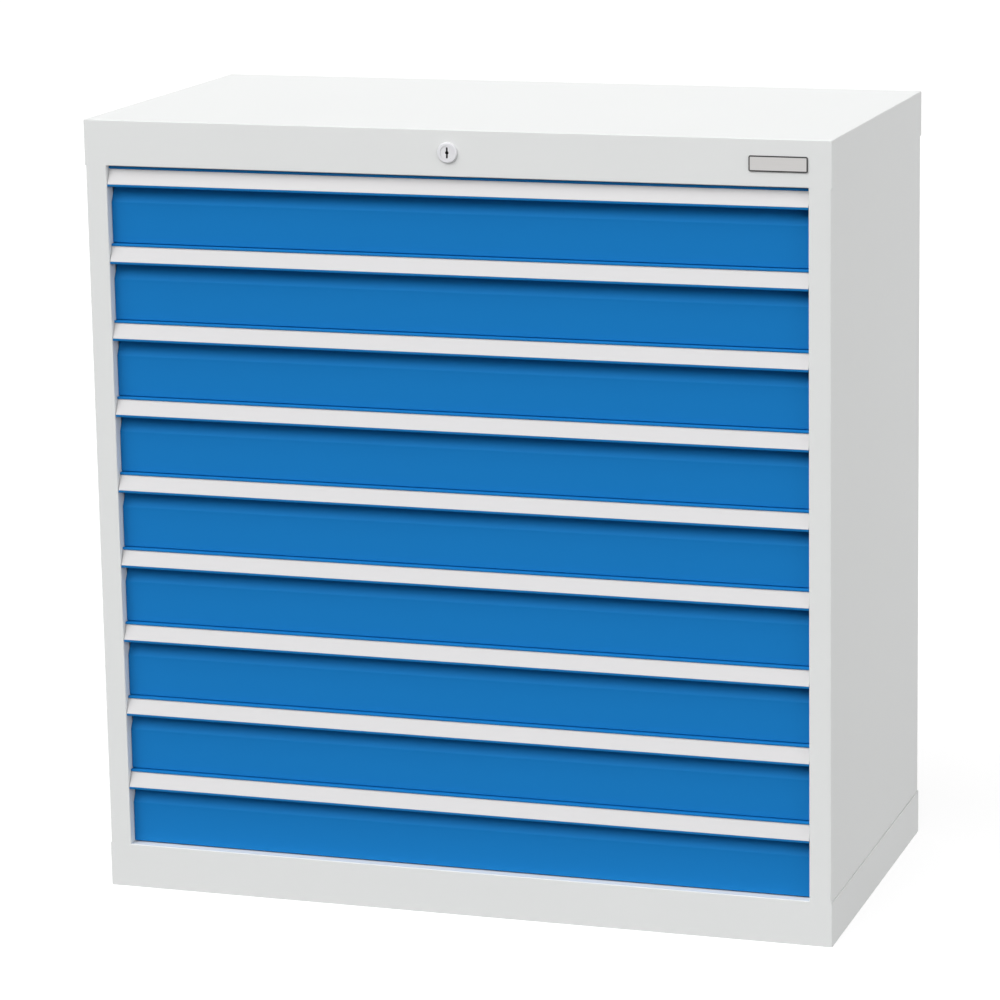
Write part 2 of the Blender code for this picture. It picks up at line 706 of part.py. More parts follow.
def slide_member(finish):
    """The middle member of a slide, which runs in the rail and carries the drawer's member."""
    section = channel_section(SLIDE_MOUTH, SLIDE_OUTER, SLIDE_HALF, SLIDE_SHEET, SLIDE_LIP)
    return baked(prism("slide_member", shifted(section, 0, SLIDE_RISE), "Y", SLIDE_START,
                       SLIDE_START + SLIDE_LENGTH, finish))


def drawers(case_paint, front_paint, strip_plastic, steel, case):
    """Nine drawers, numbered from the lowest, each with its front, strip, tray and slides."""
    front = drawer_front(front_paint)
    strip = grip_strip(strip_plastic)
    tray = drawer_tray(case_paint)
    right = slide_member(steel)
    left = mirrored(right)
    for i in range(DRAWER_COUNT):
        number = i + 1
        foot = (0, 0, FIRST_DRAWER + i * DRAWER_PITCH)
        drawer = carrier(f"drawer_{number}", foot, case)
        placed(f"drawer_front_{number}", front, drawer)
        placed(f"grip_strip_{number}", strip, drawer)
        placed(f"drawer_tray_{number}", tray, drawer)
        slides = carrier(f"slides_{number}", foot, case)
        placed(f"slide_member_right_{number}", right, slides)
        placed(f"slide_member_left_{number}", left, slides)


def lock_housing(finish, axis):
    """The lock's barrel with its domed rosette, bored for the cylinder."""
    bore = PLUG_DIAMETER / 2 + FIT_GAP
    rim = ROSETTE_DIAMETER / 2
    barrel = BARREL_DIAMETER / 2
    back = BAR_FRONT - FIT_GAP
    dome = (rim - bore) / 2
    profile = [
        (bore, back),
        (bore, -ROSETTE_PROUD + PLUG_SUNK),
        (bore + PLUG_SUNK, -ROSETTE_PROUD),
        (bore + dome, -ROSETTE_PROUD + PLUG_SUNK / 2),
        (rim - ROSETTE_RIM, -ROSETTE_PROUD / 2),
        (rim, -ROSETTE_RIM),
        (rim, -FIT_GAP),
        (barrel, -FIT_GAP),
        (barrel, back),
    ]
    turned("lock_housing", profile, finish).parent = axis


def lock_cylinder(finish, axis):
    """The plug that the key turns, with its keyhole and a stub for the cam."""
    plug = prism("plug", circle((0, 0), PLUG_DIAMETER / 2, ROUND_SIDES), "Y",
                 PLUG_SUNK - ROSETTE_PROUD, BAR_FRONT - FIT_GAP, finish)
    join(plug, prism("stub", circle((0, 0), STUB_DIAMETER / 2, PIN_SIDES), "Y",
                     BAR_FRONT - FIT_GAP - BAR_SHEET, BAR_BACK))
    mouth = -ROSETTE_PROUD - OVERRUN
    slot = rectangle((-KEY_SLOT_WIDTH / 2, -KEY_SLOT_HEIGHT / 2),
                     (KEY_SLOT_WIDTH / 2, KEY_SLOT_HEIGHT / 2))
    cut(plug, prism("key_slot", slot, "Y", mouth, KEY_DEPTH - ROSETTE_PROUD))
    post = circle((0, 0), KEY_POST_DIAMETER / 2, PIN_SIDES)
    cut(plug, prism("key_post", post, "Y", mouth, KEY_DEPTH - ROSETTE_PROUD + KEY_SLOT_WIDTH))
    smooth(placed("lock_cylinder", baked(plug), axis))


def lock_cam(finish, axis):
    """The cam on the cylinder's stub, whose pin drives the slide bar."""
    pin = (CAM_PIN_X, CAM_PIN_RISE)
    outline = link((0, 0), CAM_HUB_DIAMETER / 2, pin, CAM_TIP_DIAMETER / 2)
    cam = prism("cam", outline, "Y", BAR_FRONT, BAR_BACK, finish)
    cut(cam, prism("cam_hole", circle((0, 0), STUB_DIAMETER / 2 + FIT_GAP, PIN_SIDES), "Y",
                   BAR_FRONT - OVERRUN, BAR_BACK + OVERRUN))
    join(cam, prism("cam_pin", circle(pin, PIN_RADIUS, PIN_SIDES), "Y", BAR_BACK - BAR_SHEET / 2,
                    SLIDE_BAR_BACK))
    placed("lock_cam", baked(cam), axis)


def lock_slide_bar(finish, travel):
    """The bar that the cam pushes sideways, with a sloping slot that lifts the locking bar."""
    left = CAM_PIN_X - SLOT_HALF - SLOT_WALL
    right = HEAD_PIN_X + SLOT_HALF + SLOT_WALL
    bar = prism("slide_bar", rectangle((left, SLIDE_BAR_FOOT), (right, SLIDE_BAR_HEAD)), "Y",
                SLIDE_BAR_FRONT, SLIDE_BAR_BACK, finish)
    low = LOCK_HEIGHT + CAM_PIN_RISE
    high = LOCK_HEIGHT + CAM_THROW
    cam_slot = link((CAM_PIN_X, low), SLOT_HALF, (CAM_PIN_X, high), SLOT_HALF)
    lift_slot = link((HEAD_PIN_X, HEAD_PIN_HEIGHT), SLOT_HALF,
                     (HEAD_PIN_X - LOCK_TRAVEL, HEAD_PIN_HEIGHT + LOCK_TRAVEL), SLOT_HALF)
    for name, outline in (("cam_slot", cam_slot), ("lift_slot", lift_slot)):
        cut(bar, prism(name, outline, "Y", SLIDE_BAR_FRONT - OVERRUN, SLIDE_BAR_BACK + OVERRUN))
    placed("lock_slide_bar", baked(bar), travel)


def locking_bar(finish, travel):
    """The upright bar whose fingers rise in front of the trays' lugs."""
    foot = BASE_HEIGHT + BAR_FOOT_RISE
    head = HEAD_PIN_HEIGHT + SLOT_HALF + SLOT_WALL
    outline = [(BAR_OUTER, head), (BAR_OUTER, foot), (BAR_INNER, foot)]
    for i in range(DRAWER_COUNT):
        top = FIRST_DRAWER + i * DRAWER_PITCH + FINGER_TOP
        low = top - FINGER_HEIGHT
        outline += [(BAR_INNER, low), (FINGER_TIP, low), (FINGER_TIP, top), (BAR_INNER, top)]
    shoulder = HEAD_PIN_HEIGHT - SLOT_HALF - SLOT_WALL
    outline += [(BAR_INNER, shoulder), (FINGER_TIP, shoulder), (FINGER_TIP, head)]
    bar = prism("bar", outline, "Y", BAR_FRONT, BAR_BACK, finish)
    pin = circle((HEAD_PIN_X, HEAD_PIN_HEIGHT), PIN_RADIUS, PIN_SIDES)
    join(bar, prism("bar_pin", pin, "Y", BAR_BACK - BAR_SHEET / 2, SLIDE_BAR_BACK))
    placed("locking_bar", baked(bar), travel)


def main():
    for old in list(bpy.data.objects):
        bpy.data.objects.remove(old)
    case_paint = paint("case_paint", (0.72, 0.74, 0.73), 0.5, 0)
    front_paint = paint("front_paint", (0.01, 0.18, 0.5), 0.5, 0)
    strip_plastic = paint("strip_plastic", (0.72, 0.71, 0.72), 0.4, 0)
    steel = paint("zinc_steel", (0.6, 0.62, 0.64), 0.35, 1)
    rosette_finish = paint("lock_finish", (0.78, 0.79, 0.79), 0.35, 0)
    plate_metal = paint("plate_metal", (0.5, 0.5, 0.5), 0.4, 1)

    case = carrier("case", (0, FRONT_Y, 0))
    top_cover(case_paint, case)
    side_panels(case_paint, case)
    base_plinth(case_paint, case)
    bottom_panel(case_paint, case)
    back_panel(case_paint, case)
    name_plate(plate_metal, case)
    runner_frames(steel, case)
    top_crossmember(case_paint, case)
    drawers(case_paint, front_paint, strip_plastic, steel, case)
    lock_housing(rosette_finish, carrier("lock_axis_fixed", (0, 0, LOCK_HEIGHT), case))
    axis = carrier("lock_axis", (0, 0, LOCK_HEIGHT), case)
    lock_cylinder(rosette_finish, axis)
    lock_cam(steel, axis)
    lock_slide_bar(steel, carrier("slide_bar_travel", (0, 0, 0), case))
    locking_bar(steel, carrier("locking_bar_travel", (0, 0, 0), case))


main()
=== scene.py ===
# %% [markdown]
# # A drawer cabinet of folded sheet steel
# The cabinet is a case of powder coated sheet with nine shallow drawers. The frame that this lesson
# loads is the engineering model: it has every piece at its real size, on the joints that move it.
# Its solids are plain, so the lesson builds the visible pieces again with real folds and rounded
# edges, and gives every surface its finish. What the frame says about sizes is always followed.

# %% Load the frame
import json
import math

import bmesh
import bpy
from mathutils import Matrix, Vector


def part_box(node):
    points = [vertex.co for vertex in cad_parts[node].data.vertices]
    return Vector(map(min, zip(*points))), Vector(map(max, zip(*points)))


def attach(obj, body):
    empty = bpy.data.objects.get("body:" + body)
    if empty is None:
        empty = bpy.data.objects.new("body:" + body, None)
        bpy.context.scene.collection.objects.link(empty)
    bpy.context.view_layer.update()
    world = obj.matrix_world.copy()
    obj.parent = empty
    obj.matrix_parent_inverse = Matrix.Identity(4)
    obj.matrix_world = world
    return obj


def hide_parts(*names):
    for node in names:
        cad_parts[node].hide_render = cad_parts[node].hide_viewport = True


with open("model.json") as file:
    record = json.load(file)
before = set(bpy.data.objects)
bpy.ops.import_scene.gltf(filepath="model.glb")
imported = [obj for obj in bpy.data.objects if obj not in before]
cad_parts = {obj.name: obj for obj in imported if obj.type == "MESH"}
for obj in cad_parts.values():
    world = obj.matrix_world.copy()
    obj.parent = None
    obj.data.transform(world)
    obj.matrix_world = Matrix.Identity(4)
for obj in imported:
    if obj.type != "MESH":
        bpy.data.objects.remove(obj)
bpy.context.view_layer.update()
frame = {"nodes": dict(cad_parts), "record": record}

# %% [markdown]
# ## Sizes that all pieces share
# Pieces are drawn in case coordinates: X across, Y as the depth behind the front plane, Z up from
# the floor. The front plane is the front of the lid, so the frame gives it, and every piece has
# its origin on it. A drawing in millimetres is easier to check against a real cabinet than one in
# metres.

# %% Read the main sizes from the frame
MM = 0.001
FRONT_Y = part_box("top_cover")[0].y
ORIGIN = Matrix.Translation((0, FRONT_Y, 0))


def measured(node):
    """The lowest and highest corner of a frame node in case coordinates, in millimetres."""
    return [(corner - ORIGIN.translation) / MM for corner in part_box(node)]


LID_LOW, LID_HIGH = measured("top_cover")
SIDE_LOW, SIDE_HIGH = measured("side_panel_right")
PLINTH_LOW, PLINTH_HIGH = measured("base_plinth")
OPENING_HALF = SIDE_LOW.x
RAIL_FOOT = LID_LOW.z
PLINTH_TOP = PLINTH_HIGH.z
SHEET = 1
CASE_BEND = 0.4
FIT_GAP = 0.3
DRAWERS = range(1, 1 + sum(name.startswith("drawer_front") for name in frame["nodes"]))
print("case:", [round(size, 1) for size in LID_HIGH - LID_LOW], "drawers:", len(DRAWERS))

# %% [markdown]
# ## The camera
# The photograph was solved for its camera from the straight edges of the case. It is a long lens
# from the right and a little above, with a slight roll. The picture is a crop of a larger one, so
# the lens axis doesn't pass through its middle, and a small shift of the camera says so.

# %% Place the camera
CAMERA_PLACE = Vector((1.6217, -4.9042, 1.6663))
CAMERA_AZIMUTH = 17.052
CAMERA_ELEVATION = 11.660
CAMERA_ROLL = -0.690
PICTURE_SIDE = 1000
FOCAL_PIXELS = 4001.9
AXIS_PIXEL = (600, 420)
SENSOR = 36
FAR_CLIP = 100


def turned_camera(azimuth, elevation, roll):
    """The rotation of a camera at these angles in degrees. At azimuth 0 it looks along +Y."""
    azimuth, elevation, roll = (math.radians(angle) for angle in (azimuth, elevation, roll))
    swing = Matrix.Rotation(azimuth, 4, "Z")
    tilt = Matrix.Rotation(math.pi / 2 - elevation, 4, "X")
    return swing @ tilt @ Matrix.Rotation(roll, 4, "Z")


lens = bpy.data.cameras.new("photo_lens")
lens.sensor_width = SENSOR
lens.lens = FOCAL_PIXELS / PICTURE_SIDE * SENSOR
lens.shift_x = 0.5 - AXIS_PIXEL[0] / PICTURE_SIDE
lens.shift_y = AXIS_PIXEL[1] / PICTURE_SIDE - 0.5
lens.clip_end = FAR_CLIP
camera = bpy.data.objects.new("photo_camera", lens)
bpy.context.collection.objects.link(camera)
turn = turned_camera(CAMERA_AZIMUTH, CAMERA_ELEVATION, CAMERA_ROLL)
camera.matrix_world = Matrix.Translation(CAMERA_PLACE) @ turn
bpy.context.scene.camera = camera
print(f"camera: {lens.lens:.1f} mm, shift {lens.shift_x:.4f}, {lens.shift_y:.4f}")

# %% [markdown]
# ## A class for shader maths
# A finish is a small graph of nodes. Written node by node it is hard to read, so one class wraps a
# socket and turns Python's operators into Math nodes: `1 - mask` adds a subtraction to the graph.
# Every other node comes from one method, which takes its type, its settings and its sockets.

# %% Define the shader class
NOISE_MIDDLE = 0.5
MIX_FACTOR, MIX_FIRST, MIX_SECOND, MIX_COLOUR = 0, 6, 7, 2


class Value:
    """An output socket of a node tree. Arithmetic on it adds Math nodes to the tree."""

    def __init__(self, tree, socket=None):
        self.tree = tree
        self.socket = socket

    def node(self, kind, settings=None, sockets=None, output=0):
        """Adds a node to this value's tree, sets it up and returns one of its outputs."""
        made = self.tree.nodes.new("ShaderNode" + kind)
        for name, setting in (settings or {}).items():
            setattr(made, name, setting)
        for key, value in (sockets or {}).items():
            if isinstance(value, Value):
                self.tree.links.new(value.socket, made.inputs[key])
            else:
                made.inputs[key].default_value = value
        return Value(self.tree, made.outputs[output])

    def maths(self, operation, *values):
        return self.node("Math", {"operation": operation}, dict(enumerate(values)))

    def __add__(self, other):
        return self.maths("ADD", self, other)

    def __radd__(self, other):
        return self.maths("ADD", other, self)

    def __sub__(self, other):
        return self.maths("SUBTRACT", self, other)

    def __rsub__(self, other):
        return self.maths("SUBTRACT", other, self)

    def __mul__(self, other):
        return self.maths("MULTIPLY", self, other)

    def __rmul__(self, other):
        return self.maths("MULTIPLY", other, self)

    def __abs__(self):
        return self.maths("ABSOLUTE", self)

    def at_least(self, other):
        return self.maths("MAXIMUM", self, other)

    def root(self):
        return self.maths("SQRT", self)

    def above(self, edge, width):
        """0 below the edge and 1 above it, with a soft step of this width."""
        sockets = {"Value": self, "From Min": edge - width / 2, "From Max": edge + width / 2}
        return self.node("MapRange", {"interpolation_type": "SMOOTHSTEP"}, sockets)

    def swing(self, reach):
        """Noise of 0 to 1 as a swing of this reach about zero."""
        return reach * (self - NOISE_MIDDLE)

    def scaled(self, factor):
        """This vector times a number."""
        return self.node("VectorMath", {"operation": "SCALE"}, {0: self, "Scale": factor})

    def coloured(self, colour):
        """A colour times this number, which gives the colour its light and dark places."""
        return self.node("CombineXYZ", None, dict(enumerate(colour))).scaled(self)

    def stretched(self, factors):
        """This vector with each part times its own factor."""
        return self.node("VectorMath", {"operation": "MULTIPLY"}, {0: self, 1: factors})

    def parts(self):
        """The X, Y and Z of this vector."""
        split = self.node("SeparateXYZ", None, {0: self}).socket.node
        return [Value(self.tree, output) for output in split.outputs]

    def noise(self, grain, detail):
        """Cloudy noise over this vector of places, whose clouds are about one grain long."""
        return self.node("TexNoise", None, {"Vector": self, "Scale": 1 / grain, "Detail": detail})


def tinted(start, factor, first, second):
    """A colour between two colours: the first where the factor is 0, the second where it is 1."""
    sockets = {MIX_FACTOR: factor, MIX_FIRST: first, MIX_SECOND: second}
    return start.node("Mix", {"data_type": "RGBA"}, sockets, MIX_COLOUR)


print("shader class:", Value.__doc__)

# %% [markdown]
# ## Floor, backdrop and light
# The photograph is a product shot on white, with soft light from above and a little from the left.
# Suns are used, not lamps near the cabinet, because they light a large floor evenly: a wide angle
# makes them soft. Each sun is given by a vector to where its light comes from, whose length is its
# strength. The background is white for the camera and for reflections only. The light that comes
# from below is much weaker than a white floor would give, as the dark shade under each grip shows,
# so the floor is darker to all other rays. For the camera it glows, which leaves the cabinet's
# shadow on it but keeps it as faint as on a brightly lit studio floor.

# %% Make the floor, the world and the lamps
FLOOR_HALF = 60
FLOOR_SEEN = (0.22, 0.22, 0.22, 1)
FLOOR_GLOW = (0.86, 0.86, 0.86, 1)
FLOOR_BOUNCE = (0.08, 0.08, 0.08, 1)
DIM_GLOW = (0.12, 0.12, 0.12, 1)
SKY = 0.19
LAMPS = {
    "key": {"from": (-0.42, -0.59, 0.75), "angle": 56},
    "fill_front": {"from": (0.24, -0.235, 0.01), "angle": 50},
    "fill_right": {"from": (0.61, -0.06, 0.06), "angle": 60},
    "fill_back": {"from": (-0.15, 0.45, 0.08), "angle": 60},
}


def seen_directly(value):
    """1 for rays from the camera and for reflections and refractions, 0 for diffuse light."""
    path = value.node("LightPath").socket.node
    rays = [Value(value.tree, path.outputs[f"Is {kind} Ray"]) for kind in
            ("Camera", "Glossy", "Transmission")]
    return rays[0].at_least(rays[1]).at_least(rays[2])


def make_floor():
    shape = bmesh.new()
    bmesh.ops.create_grid(shape, x_segments=2, y_segments=2, size=FLOOR_HALF)
    mesh = bpy.data.meshes.new("studio_floor")
    shape.to_mesh(mesh)
    shape.free()
    floor = bpy.data.objects.new("studio_floor", mesh)
    bpy.context.collection.objects.link(floor)
    material = bpy.data.materials.new("studio_floor")
    material.use_nodes = True
    shader = material.node_tree.nodes["Principled BSDF"]
    shader.inputs["Roughness"].default_value = 1
    shader.inputs["Specular IOR Level"].default_value = 0
    start = Value(material.node_tree)
    shader.inputs["Emission Strength"].default_value = 1
    for socket, dim, seen in (("Base Color", FLOOR_BOUNCE, FLOOR_SEEN),
                              ("Emission Color", DIM_GLOW, FLOOR_GLOW)):
        colour = tinted(start, seen_directly(start), dim, seen)
        material.node_tree.links.new(colour.socket, shader.inputs[socket])
    mesh.materials.append(material)


def make_world():
    world = bpy.data.worlds.new("studio")
    world.use_nodes = True
    bpy.context.scene.world = world
    background = world.node_tree.nodes["Background"]
    background.inputs["Color"].default_value = (1, 1, 1, 1)
    direct = seen_directly(Value(world.node_tree))
    strength = SKY + (1 - SKY) * direct
    world.node_tree.links.new(strength.socket, background.inputs["Strength"])


def make_lamp(name, setup):
    lamp = bpy.data.lights.new(name, "SUN")
    lamp.energy = Vector(setup["from"]).length * math.pi
    lamp.angle = math.radians(setup["angle"])
    sun = bpy.data.objects.new(name, lamp)
    sun.rotation_mode = "QUATERNION"
    sun.rotation_quaternion = Vector(setup["from"]).to_track_quat("Z", "Y")
    sun.visible_glossy = False
    bpy.context.collection.objects.link(sun)


make_floor()
make_world()
for lamp_name, lamp_setup in LAMPS.items():
    make_lamp(lamp_name, lamp_setup)
bpy.context.scene.view_settings.view_transform = "Standard"
print("lamps:", list(LAMPS), "sky", SKY)

# %% [markdown]
# ## Powder coat
# All sheet pieces are powder coated: dry powder is baked to a tough satin skin. Its surface isn't
# flat but has a fine orange peel, a few millimetres from bump to bump and only microns high. It
# could be modelled, but a bump from noise is finer and costs nothing. The tone and the gloss of the
# paint wander by a few percent, in wide clouds and in fine specks, which keeps a large panel from
# looking like plastic.

# %% Mix the two powder coats
PEEL_GRAIN = 2.6 * MM
PEEL_HEIGHT = 0.02 * MM
SPECKLE_GRAIN = 0.5 * MM
CLOUD_GRAIN = 140 * MM
CLOUD_TONE, SPECKLE_TONE = 0.03, 0.05
SATIN = 0.46
CLOUD_SHEEN, SPECKLE_SHEEN = 0.10, 0.06
CASE_GREY, CASE_GLOSS = (0.712, 0.722, 0.718), 0.35
FRONT_BLUE, FRONT_GLOSS = (0.008, 0.174, 0.480), 0.10


def new_finish(name):
    """An empty finish: its material, its shader node and the places on the piece as a vector."""
    material = bpy.data.materials.new(name)
    material.use_nodes = True
    shader = material.node_tree.nodes["Principled BSDF"]
    place = Value(material.node_tree).node("TexCoord", output="Object")
    return material, shader, place


def connect(shader, **values):
    """Links values to the shader's sockets, named with _ for a space."""
    for key, value in values.items():
        value.tree.links.new(value.socket, shader.inputs[key.replace("_", " ")])


def bumped(height, distance):
    """A normal from a height of 0 to 1 that stands for this distance."""
    return height.node("Bump", None, {"Height": height, "Distance": distance, "Strength": 1})


def powder_coat(name, colour, gloss):
    material, shader, place = new_finish(name)
    shader.inputs["Specular IOR Level"].default_value = gloss
    cloud = place.noise(CLOUD_GRAIN, 3)
    speckle = place.noise(SPECKLE_GRAIN, 1)
    peel = place.noise(PEEL_GRAIN, 2)
    tone = 1 + cloud.swing(CLOUD_TONE) + speckle.swing(SPECKLE_TONE)
    connect(shader, Base_Color=tone.coloured(colour),
            Roughness=SATIN + cloud.swing(CLOUD_SHEEN) + speckle.swing(SPECKLE_SHEEN),
            Normal=bumped(peel, PEEL_HEIGHT))
    return material


case_paint = powder_coat("case_powder_coat", CASE_GREY, CASE_GLOSS)
front_paint = powder_coat("front_powder_coat", FRONT_BLUE, FRONT_GLOSS)
print("powder coats:", case_paint.name, front_paint.name)

# %% [markdown]
# ## Label strips, zinc and the lock's casting
# The grips hold strips of pale paper under a clear plastic cover, so their gloss comes from a coat
# over a soft base. Slides and frames are zinc plated: the plating shows faint crystals and the
# drawing marks of the rolled strip. The lock is a die casting with a smooth satin skin.

# %% Mix the label strips' finish
PAPER_GREY = (0.580, 0.575, 0.580)
PAPER_FIBRE, FIBRE_STRETCH = 0.9 * MM, (0.15, 1, 1)
STRIP_WAVE, STRIP_WAVE_HEIGHT = 60 * MM, 0.05 * MM
FIBRE_TONE, WAVE_TONE = 0.03, 0.02
STRIP_ROUGHNESS, WAVE_SHEEN = 0.42, 0.12
COVER_GLOSS, WAVE_GLOSS, COVER_ROUGHNESS = 0.2, 0.2, 0.12


def label_strip():
    material, shader, place = new_finish("label_strip")
    fibre = place.stretched(FIBRE_STRETCH).noise(PAPER_FIBRE, 3)
    wave = place.noise(STRIP_WAVE, 2)
    tone = 1 + fibre.swing(FIBRE_TONE) + wave.swing(WAVE_TONE)
    connect(shader, Base_Color=tone.coloured(PAPER_GREY),
            Roughness=STRIP_ROUGHNESS + wave.swing(WAVE_SHEEN),
            Coat_Weight=COVER_GLOSS + wave.swing(WAVE_GLOSS),
            Normal=bumped(wave, STRIP_WAVE_HEIGHT))
    shader.inputs["Coat Roughness"].default_value = COVER_ROUGHNESS
    return material


strip_finish = label_strip()
print("strips:", strip_finish.name)

# %% Mix the zinc plating
ZINC_GREY = (0.60, 0.62, 0.635)
SPANGLE, SPANGLE_TONE, SPANGLE_SHEEN = 9 * MM, 0.08, 0.10
ROLL_MARK, ROLL_STRETCH = 0.6 * MM, (1, 0.05, 1)
ROLL_SHEEN, ROLL_HEIGHT = 0.10, 0.01 * MM
ZINC_CLOUD, ZINC_CLOUD_TONE = 45 * MM, 0.10
ZINC_ROUGHNESS = 0.34


def zinc_steel():
    material, shader, place = new_finish("zinc_plated_steel")
    cells = place.node("TexVoronoi", None, {"Vector": place, "Scale": 1 / SPANGLE}, "Color")
    crystal = cells.parts()[0]
    marks = place.stretched(ROLL_STRETCH).noise(ROLL_MARK, 2)
    cloud = place.noise(ZINC_CLOUD, 3)
    tone = 1 + crystal.swing(SPANGLE_TONE) + cloud.swing(ZINC_CLOUD_TONE)
    connect(shader, Base_Color=tone.coloured(ZINC_GREY),
            Roughness=ZINC_ROUGHNESS + crystal.swing(SPANGLE_SHEEN) + marks.swing(ROLL_SHEEN),
            Normal=bumped(marks, ROLL_HEIGHT))
    shader.inputs["Metallic"].default_value = 1
    return material


zinc_finish = zinc_steel()
print("zinc:", zinc_finish.name)

# %% Mix the lock's casting
CASTING_GREY, CASTING_ROUGHNESS = (0.72, 0.72, 0.745), 0.33
CASTING_CLOUD, CASTING_TONE = 8 * MM, 0.03
CASTING_GRAIN, CASTING_SHEEN, CASTING_HEIGHT = 0.7 * MM, 0.10, 0.01 * MM


def lock_casting():
    material, shader, place = new_finish("lock_casting")
    grain = place.noise(CASTING_GRAIN, 2)
    cloud = place.noise(CASTING_CLOUD, 2)
    tone = 1 + cloud.swing(CASTING_TONE)
    connect(shader, Base_Color=tone.coloured(CASTING_GREY),
            Roughness=CASTING_ROUGHNESS + grain.swing(CASTING_SHEEN),
            Normal=bumped(grain, CASTING_HEIGHT))
    return material


lock_finish = lock_casting()
print("lock:", lock_finish.name)

# %% [markdown]
# ## The keyhole and the plate's border
# A keyhole is dark because hardly any light gets into it. That shade is painted into the plug's
# colour
# here: the depth behind the cylinder's face decides, and what lies deeper is painted nearly black.
# The plate is brushed aluminium with a dark printed border. The border comes from the distance to
# the plate's rounded outline, which a short formula gives for every point.

# %% Mix the cylinder's finish
PLUG_LOW, PLUG_HIGH = measured("lock_cylinder")
PLUG_GREY, PLUG_ROUGHNESS = (0.71, 0.71, 0.73), 0.34
PLUG_CLOUD, PLUG_TONE = 5 * MM, 0.04
TURN_MARK, TURN_STRETCH = 0.4 * MM, (1, 0.2, 1)
TURN_SHEEN, TURN_HEIGHT = 0.08, 0.008 * MM
# Painted shade in the keyhole: the depth where it starts, the width of its soft edge and how dark
# it gets.
KEYHOLE_START, KEYHOLE_FADE = 0.7, 0.5
KEYHOLE_PAINTED_SHADE, KEYHOLE_ROUGHNESS = 0.97, 0.4


def lock_plug():
    material, shader, place = new_finish("lock_plug")
    turning = place.stretched(TURN_STRETCH).noise(TURN_MARK, 2)
    cloud = place.noise(PLUG_CLOUD, 2)
    # Painted shade: deeper than this behind the face, the keyhole's inside is painted nearly black.
    deep = place.parts()[1].above((PLUG_LOW.y + KEYHOLE_START) * MM, KEYHOLE_FADE * MM)
    tone = (1 + cloud.swing(PLUG_TONE)) * (1 - KEYHOLE_PAINTED_SHADE * deep)
    connect(shader, Base_Color=tone.coloured(PLUG_GREY),
            Roughness=PLUG_ROUGHNESS + turning.swing(TURN_SHEEN) + KEYHOLE_ROUGHNESS * deep,
            Normal=bumped(turning, TURN_HEIGHT))
    return material


plug_finish = lock_plug()
print("keyhole: dark from", KEYHOLE_START, "mm behind the cylinder's face")

# %% Mix the plate's finish
PLATE_LOW, PLATE_HIGH = measured("name_plate")
PLATE_MIDDLE = (PLATE_LOW + PLATE_HIGH) / 2
PLATE_HALF = (PLATE_HIGH - PLATE_LOW) / 2
PLATE_CORNER = 2.2
FOIL_GREY, FOIL_ROUGHNESS, FOIL_METAL = (0.60, 0.59, 0.58), 0.40, 0.9
BRUSH_MARK, BRUSH_STRETCH = 0.5 * MM, (0.04, 1, 1)
BRUSH_TONE, BRUSH_SHEEN = 0.10, 0.12
BORDER, BORDER_FADE, BORDER_DARK = 1.6, 0.3, 0.96


def plate_foil():
    material, shader, place = new_finish("plate_foil")
    brushed = place.stretched(BRUSH_STRETCH).noise(BRUSH_MARK, 3)
    across, depth, up = place.parts()
    core = PLATE_HALF - Vector((PLATE_CORNER, 0, PLATE_CORNER))
    right = (abs(across - PLATE_MIDDLE.x * MM) - core.x * MM).at_least(0)
    above = (abs(up - PLATE_MIDDLE.z * MM) - core.z * MM).at_least(0)
    outward = (right * right + above * above).root()
    border = outward.above((PLATE_CORNER - BORDER) * MM, BORDER_FADE * MM)
    tone = (1 + brushed.swing(BRUSH_TONE)) * (1 - BORDER_DARK * border)
    connect(shader, Base_Color=tone.coloured(FOIL_GREY),
            Roughness=FOIL_ROUGHNESS + brushed.swing(BRUSH_SHEEN),
            Metallic=FOIL_METAL * (1 - border))
    return material


plate_finish = plate_foil()
print("plate:", BORDER, "mm of dark border inside corners of", PLATE_CORNER, "mm")

# %% [markdown]
# ## Drawing sections
# Nearly every piece is one folded sheet, so its shape is a section that is swept straight. A
# section is a list of corners, each with the radius that rounds it. A folded sheet needs even less:
# the path along the middle of its thickness, from which both sides and the radii of each bend
# follow.

# %% Helpers that draw outlines
BEND_STEPS = 6
ROUND_SIDES = 48


def fillet(before, corner, after, radius):
    """The points of the arc that rounds a corner off."""
    back = (Vector(before) - Vector(corner)).normalized()
    ahead = (Vector(after) - Vector(corner)).normalized()
    half = back.angle(ahead) / 2
    centre = Vector(corner) + (back + ahead).normalized() * (radius / math.sin(half))
    start = Vector(corner) + back * (radius / math.tan(half)) - centre
    side = 1 if start.y * back.x - start.x * back.y > 0 else -1
    across = Vector((-start.y, start.x)) * side
    angles = [(math.pi - 2 * half) * step / BEND_STEPS for step in range(BEND_STEPS + 1)]
    return [tuple(centre + start * math.cos(a) + across * math.sin(a)) for a in angles]


def rounded(corners):
    """A closed outline from its corners, each a point and the radius that rounds it."""
    outline = []
    for i, (point, radius) in enumerate(corners):
        after = corners[(i + 1) % len(corners)][0]
        outline += fillet(corners[i - 1][0], point, after, radius) if radius else [tuple(point)]
    return outline


def folded(path, sheet, bend):
    """The outline of a folded sheet, from the path along the middle of its thickness."""
    points = [Vector(point) for point in path]
    last = len(points) - 1
    left, right = [], []
    for i, point in enumerate(points):
        behind = (points[max(i, 1)] - points[max(i - 1, 0)]).normalized()
        ahead = (points[min(i + 1, last)] - points[min(i, last - 1)]).normalized()
        across = Vector((-(behind + ahead).y, (behind + ahead).x)).normalized()
        reach = sheet / 2 / across.dot(Vector((-ahead.y, ahead.x)))
        inside, outside = (0, 0) if i in (0, last) else (bend, bend + sheet)
        turns_left = behind.x * ahead.y - behind.y * ahead.x > 0
        left.append((point + across * reach, inside if turns_left else outside))
        right.append((point - across * reach, outside if turns_left else inside))
    return rounded(left + right[::-1])


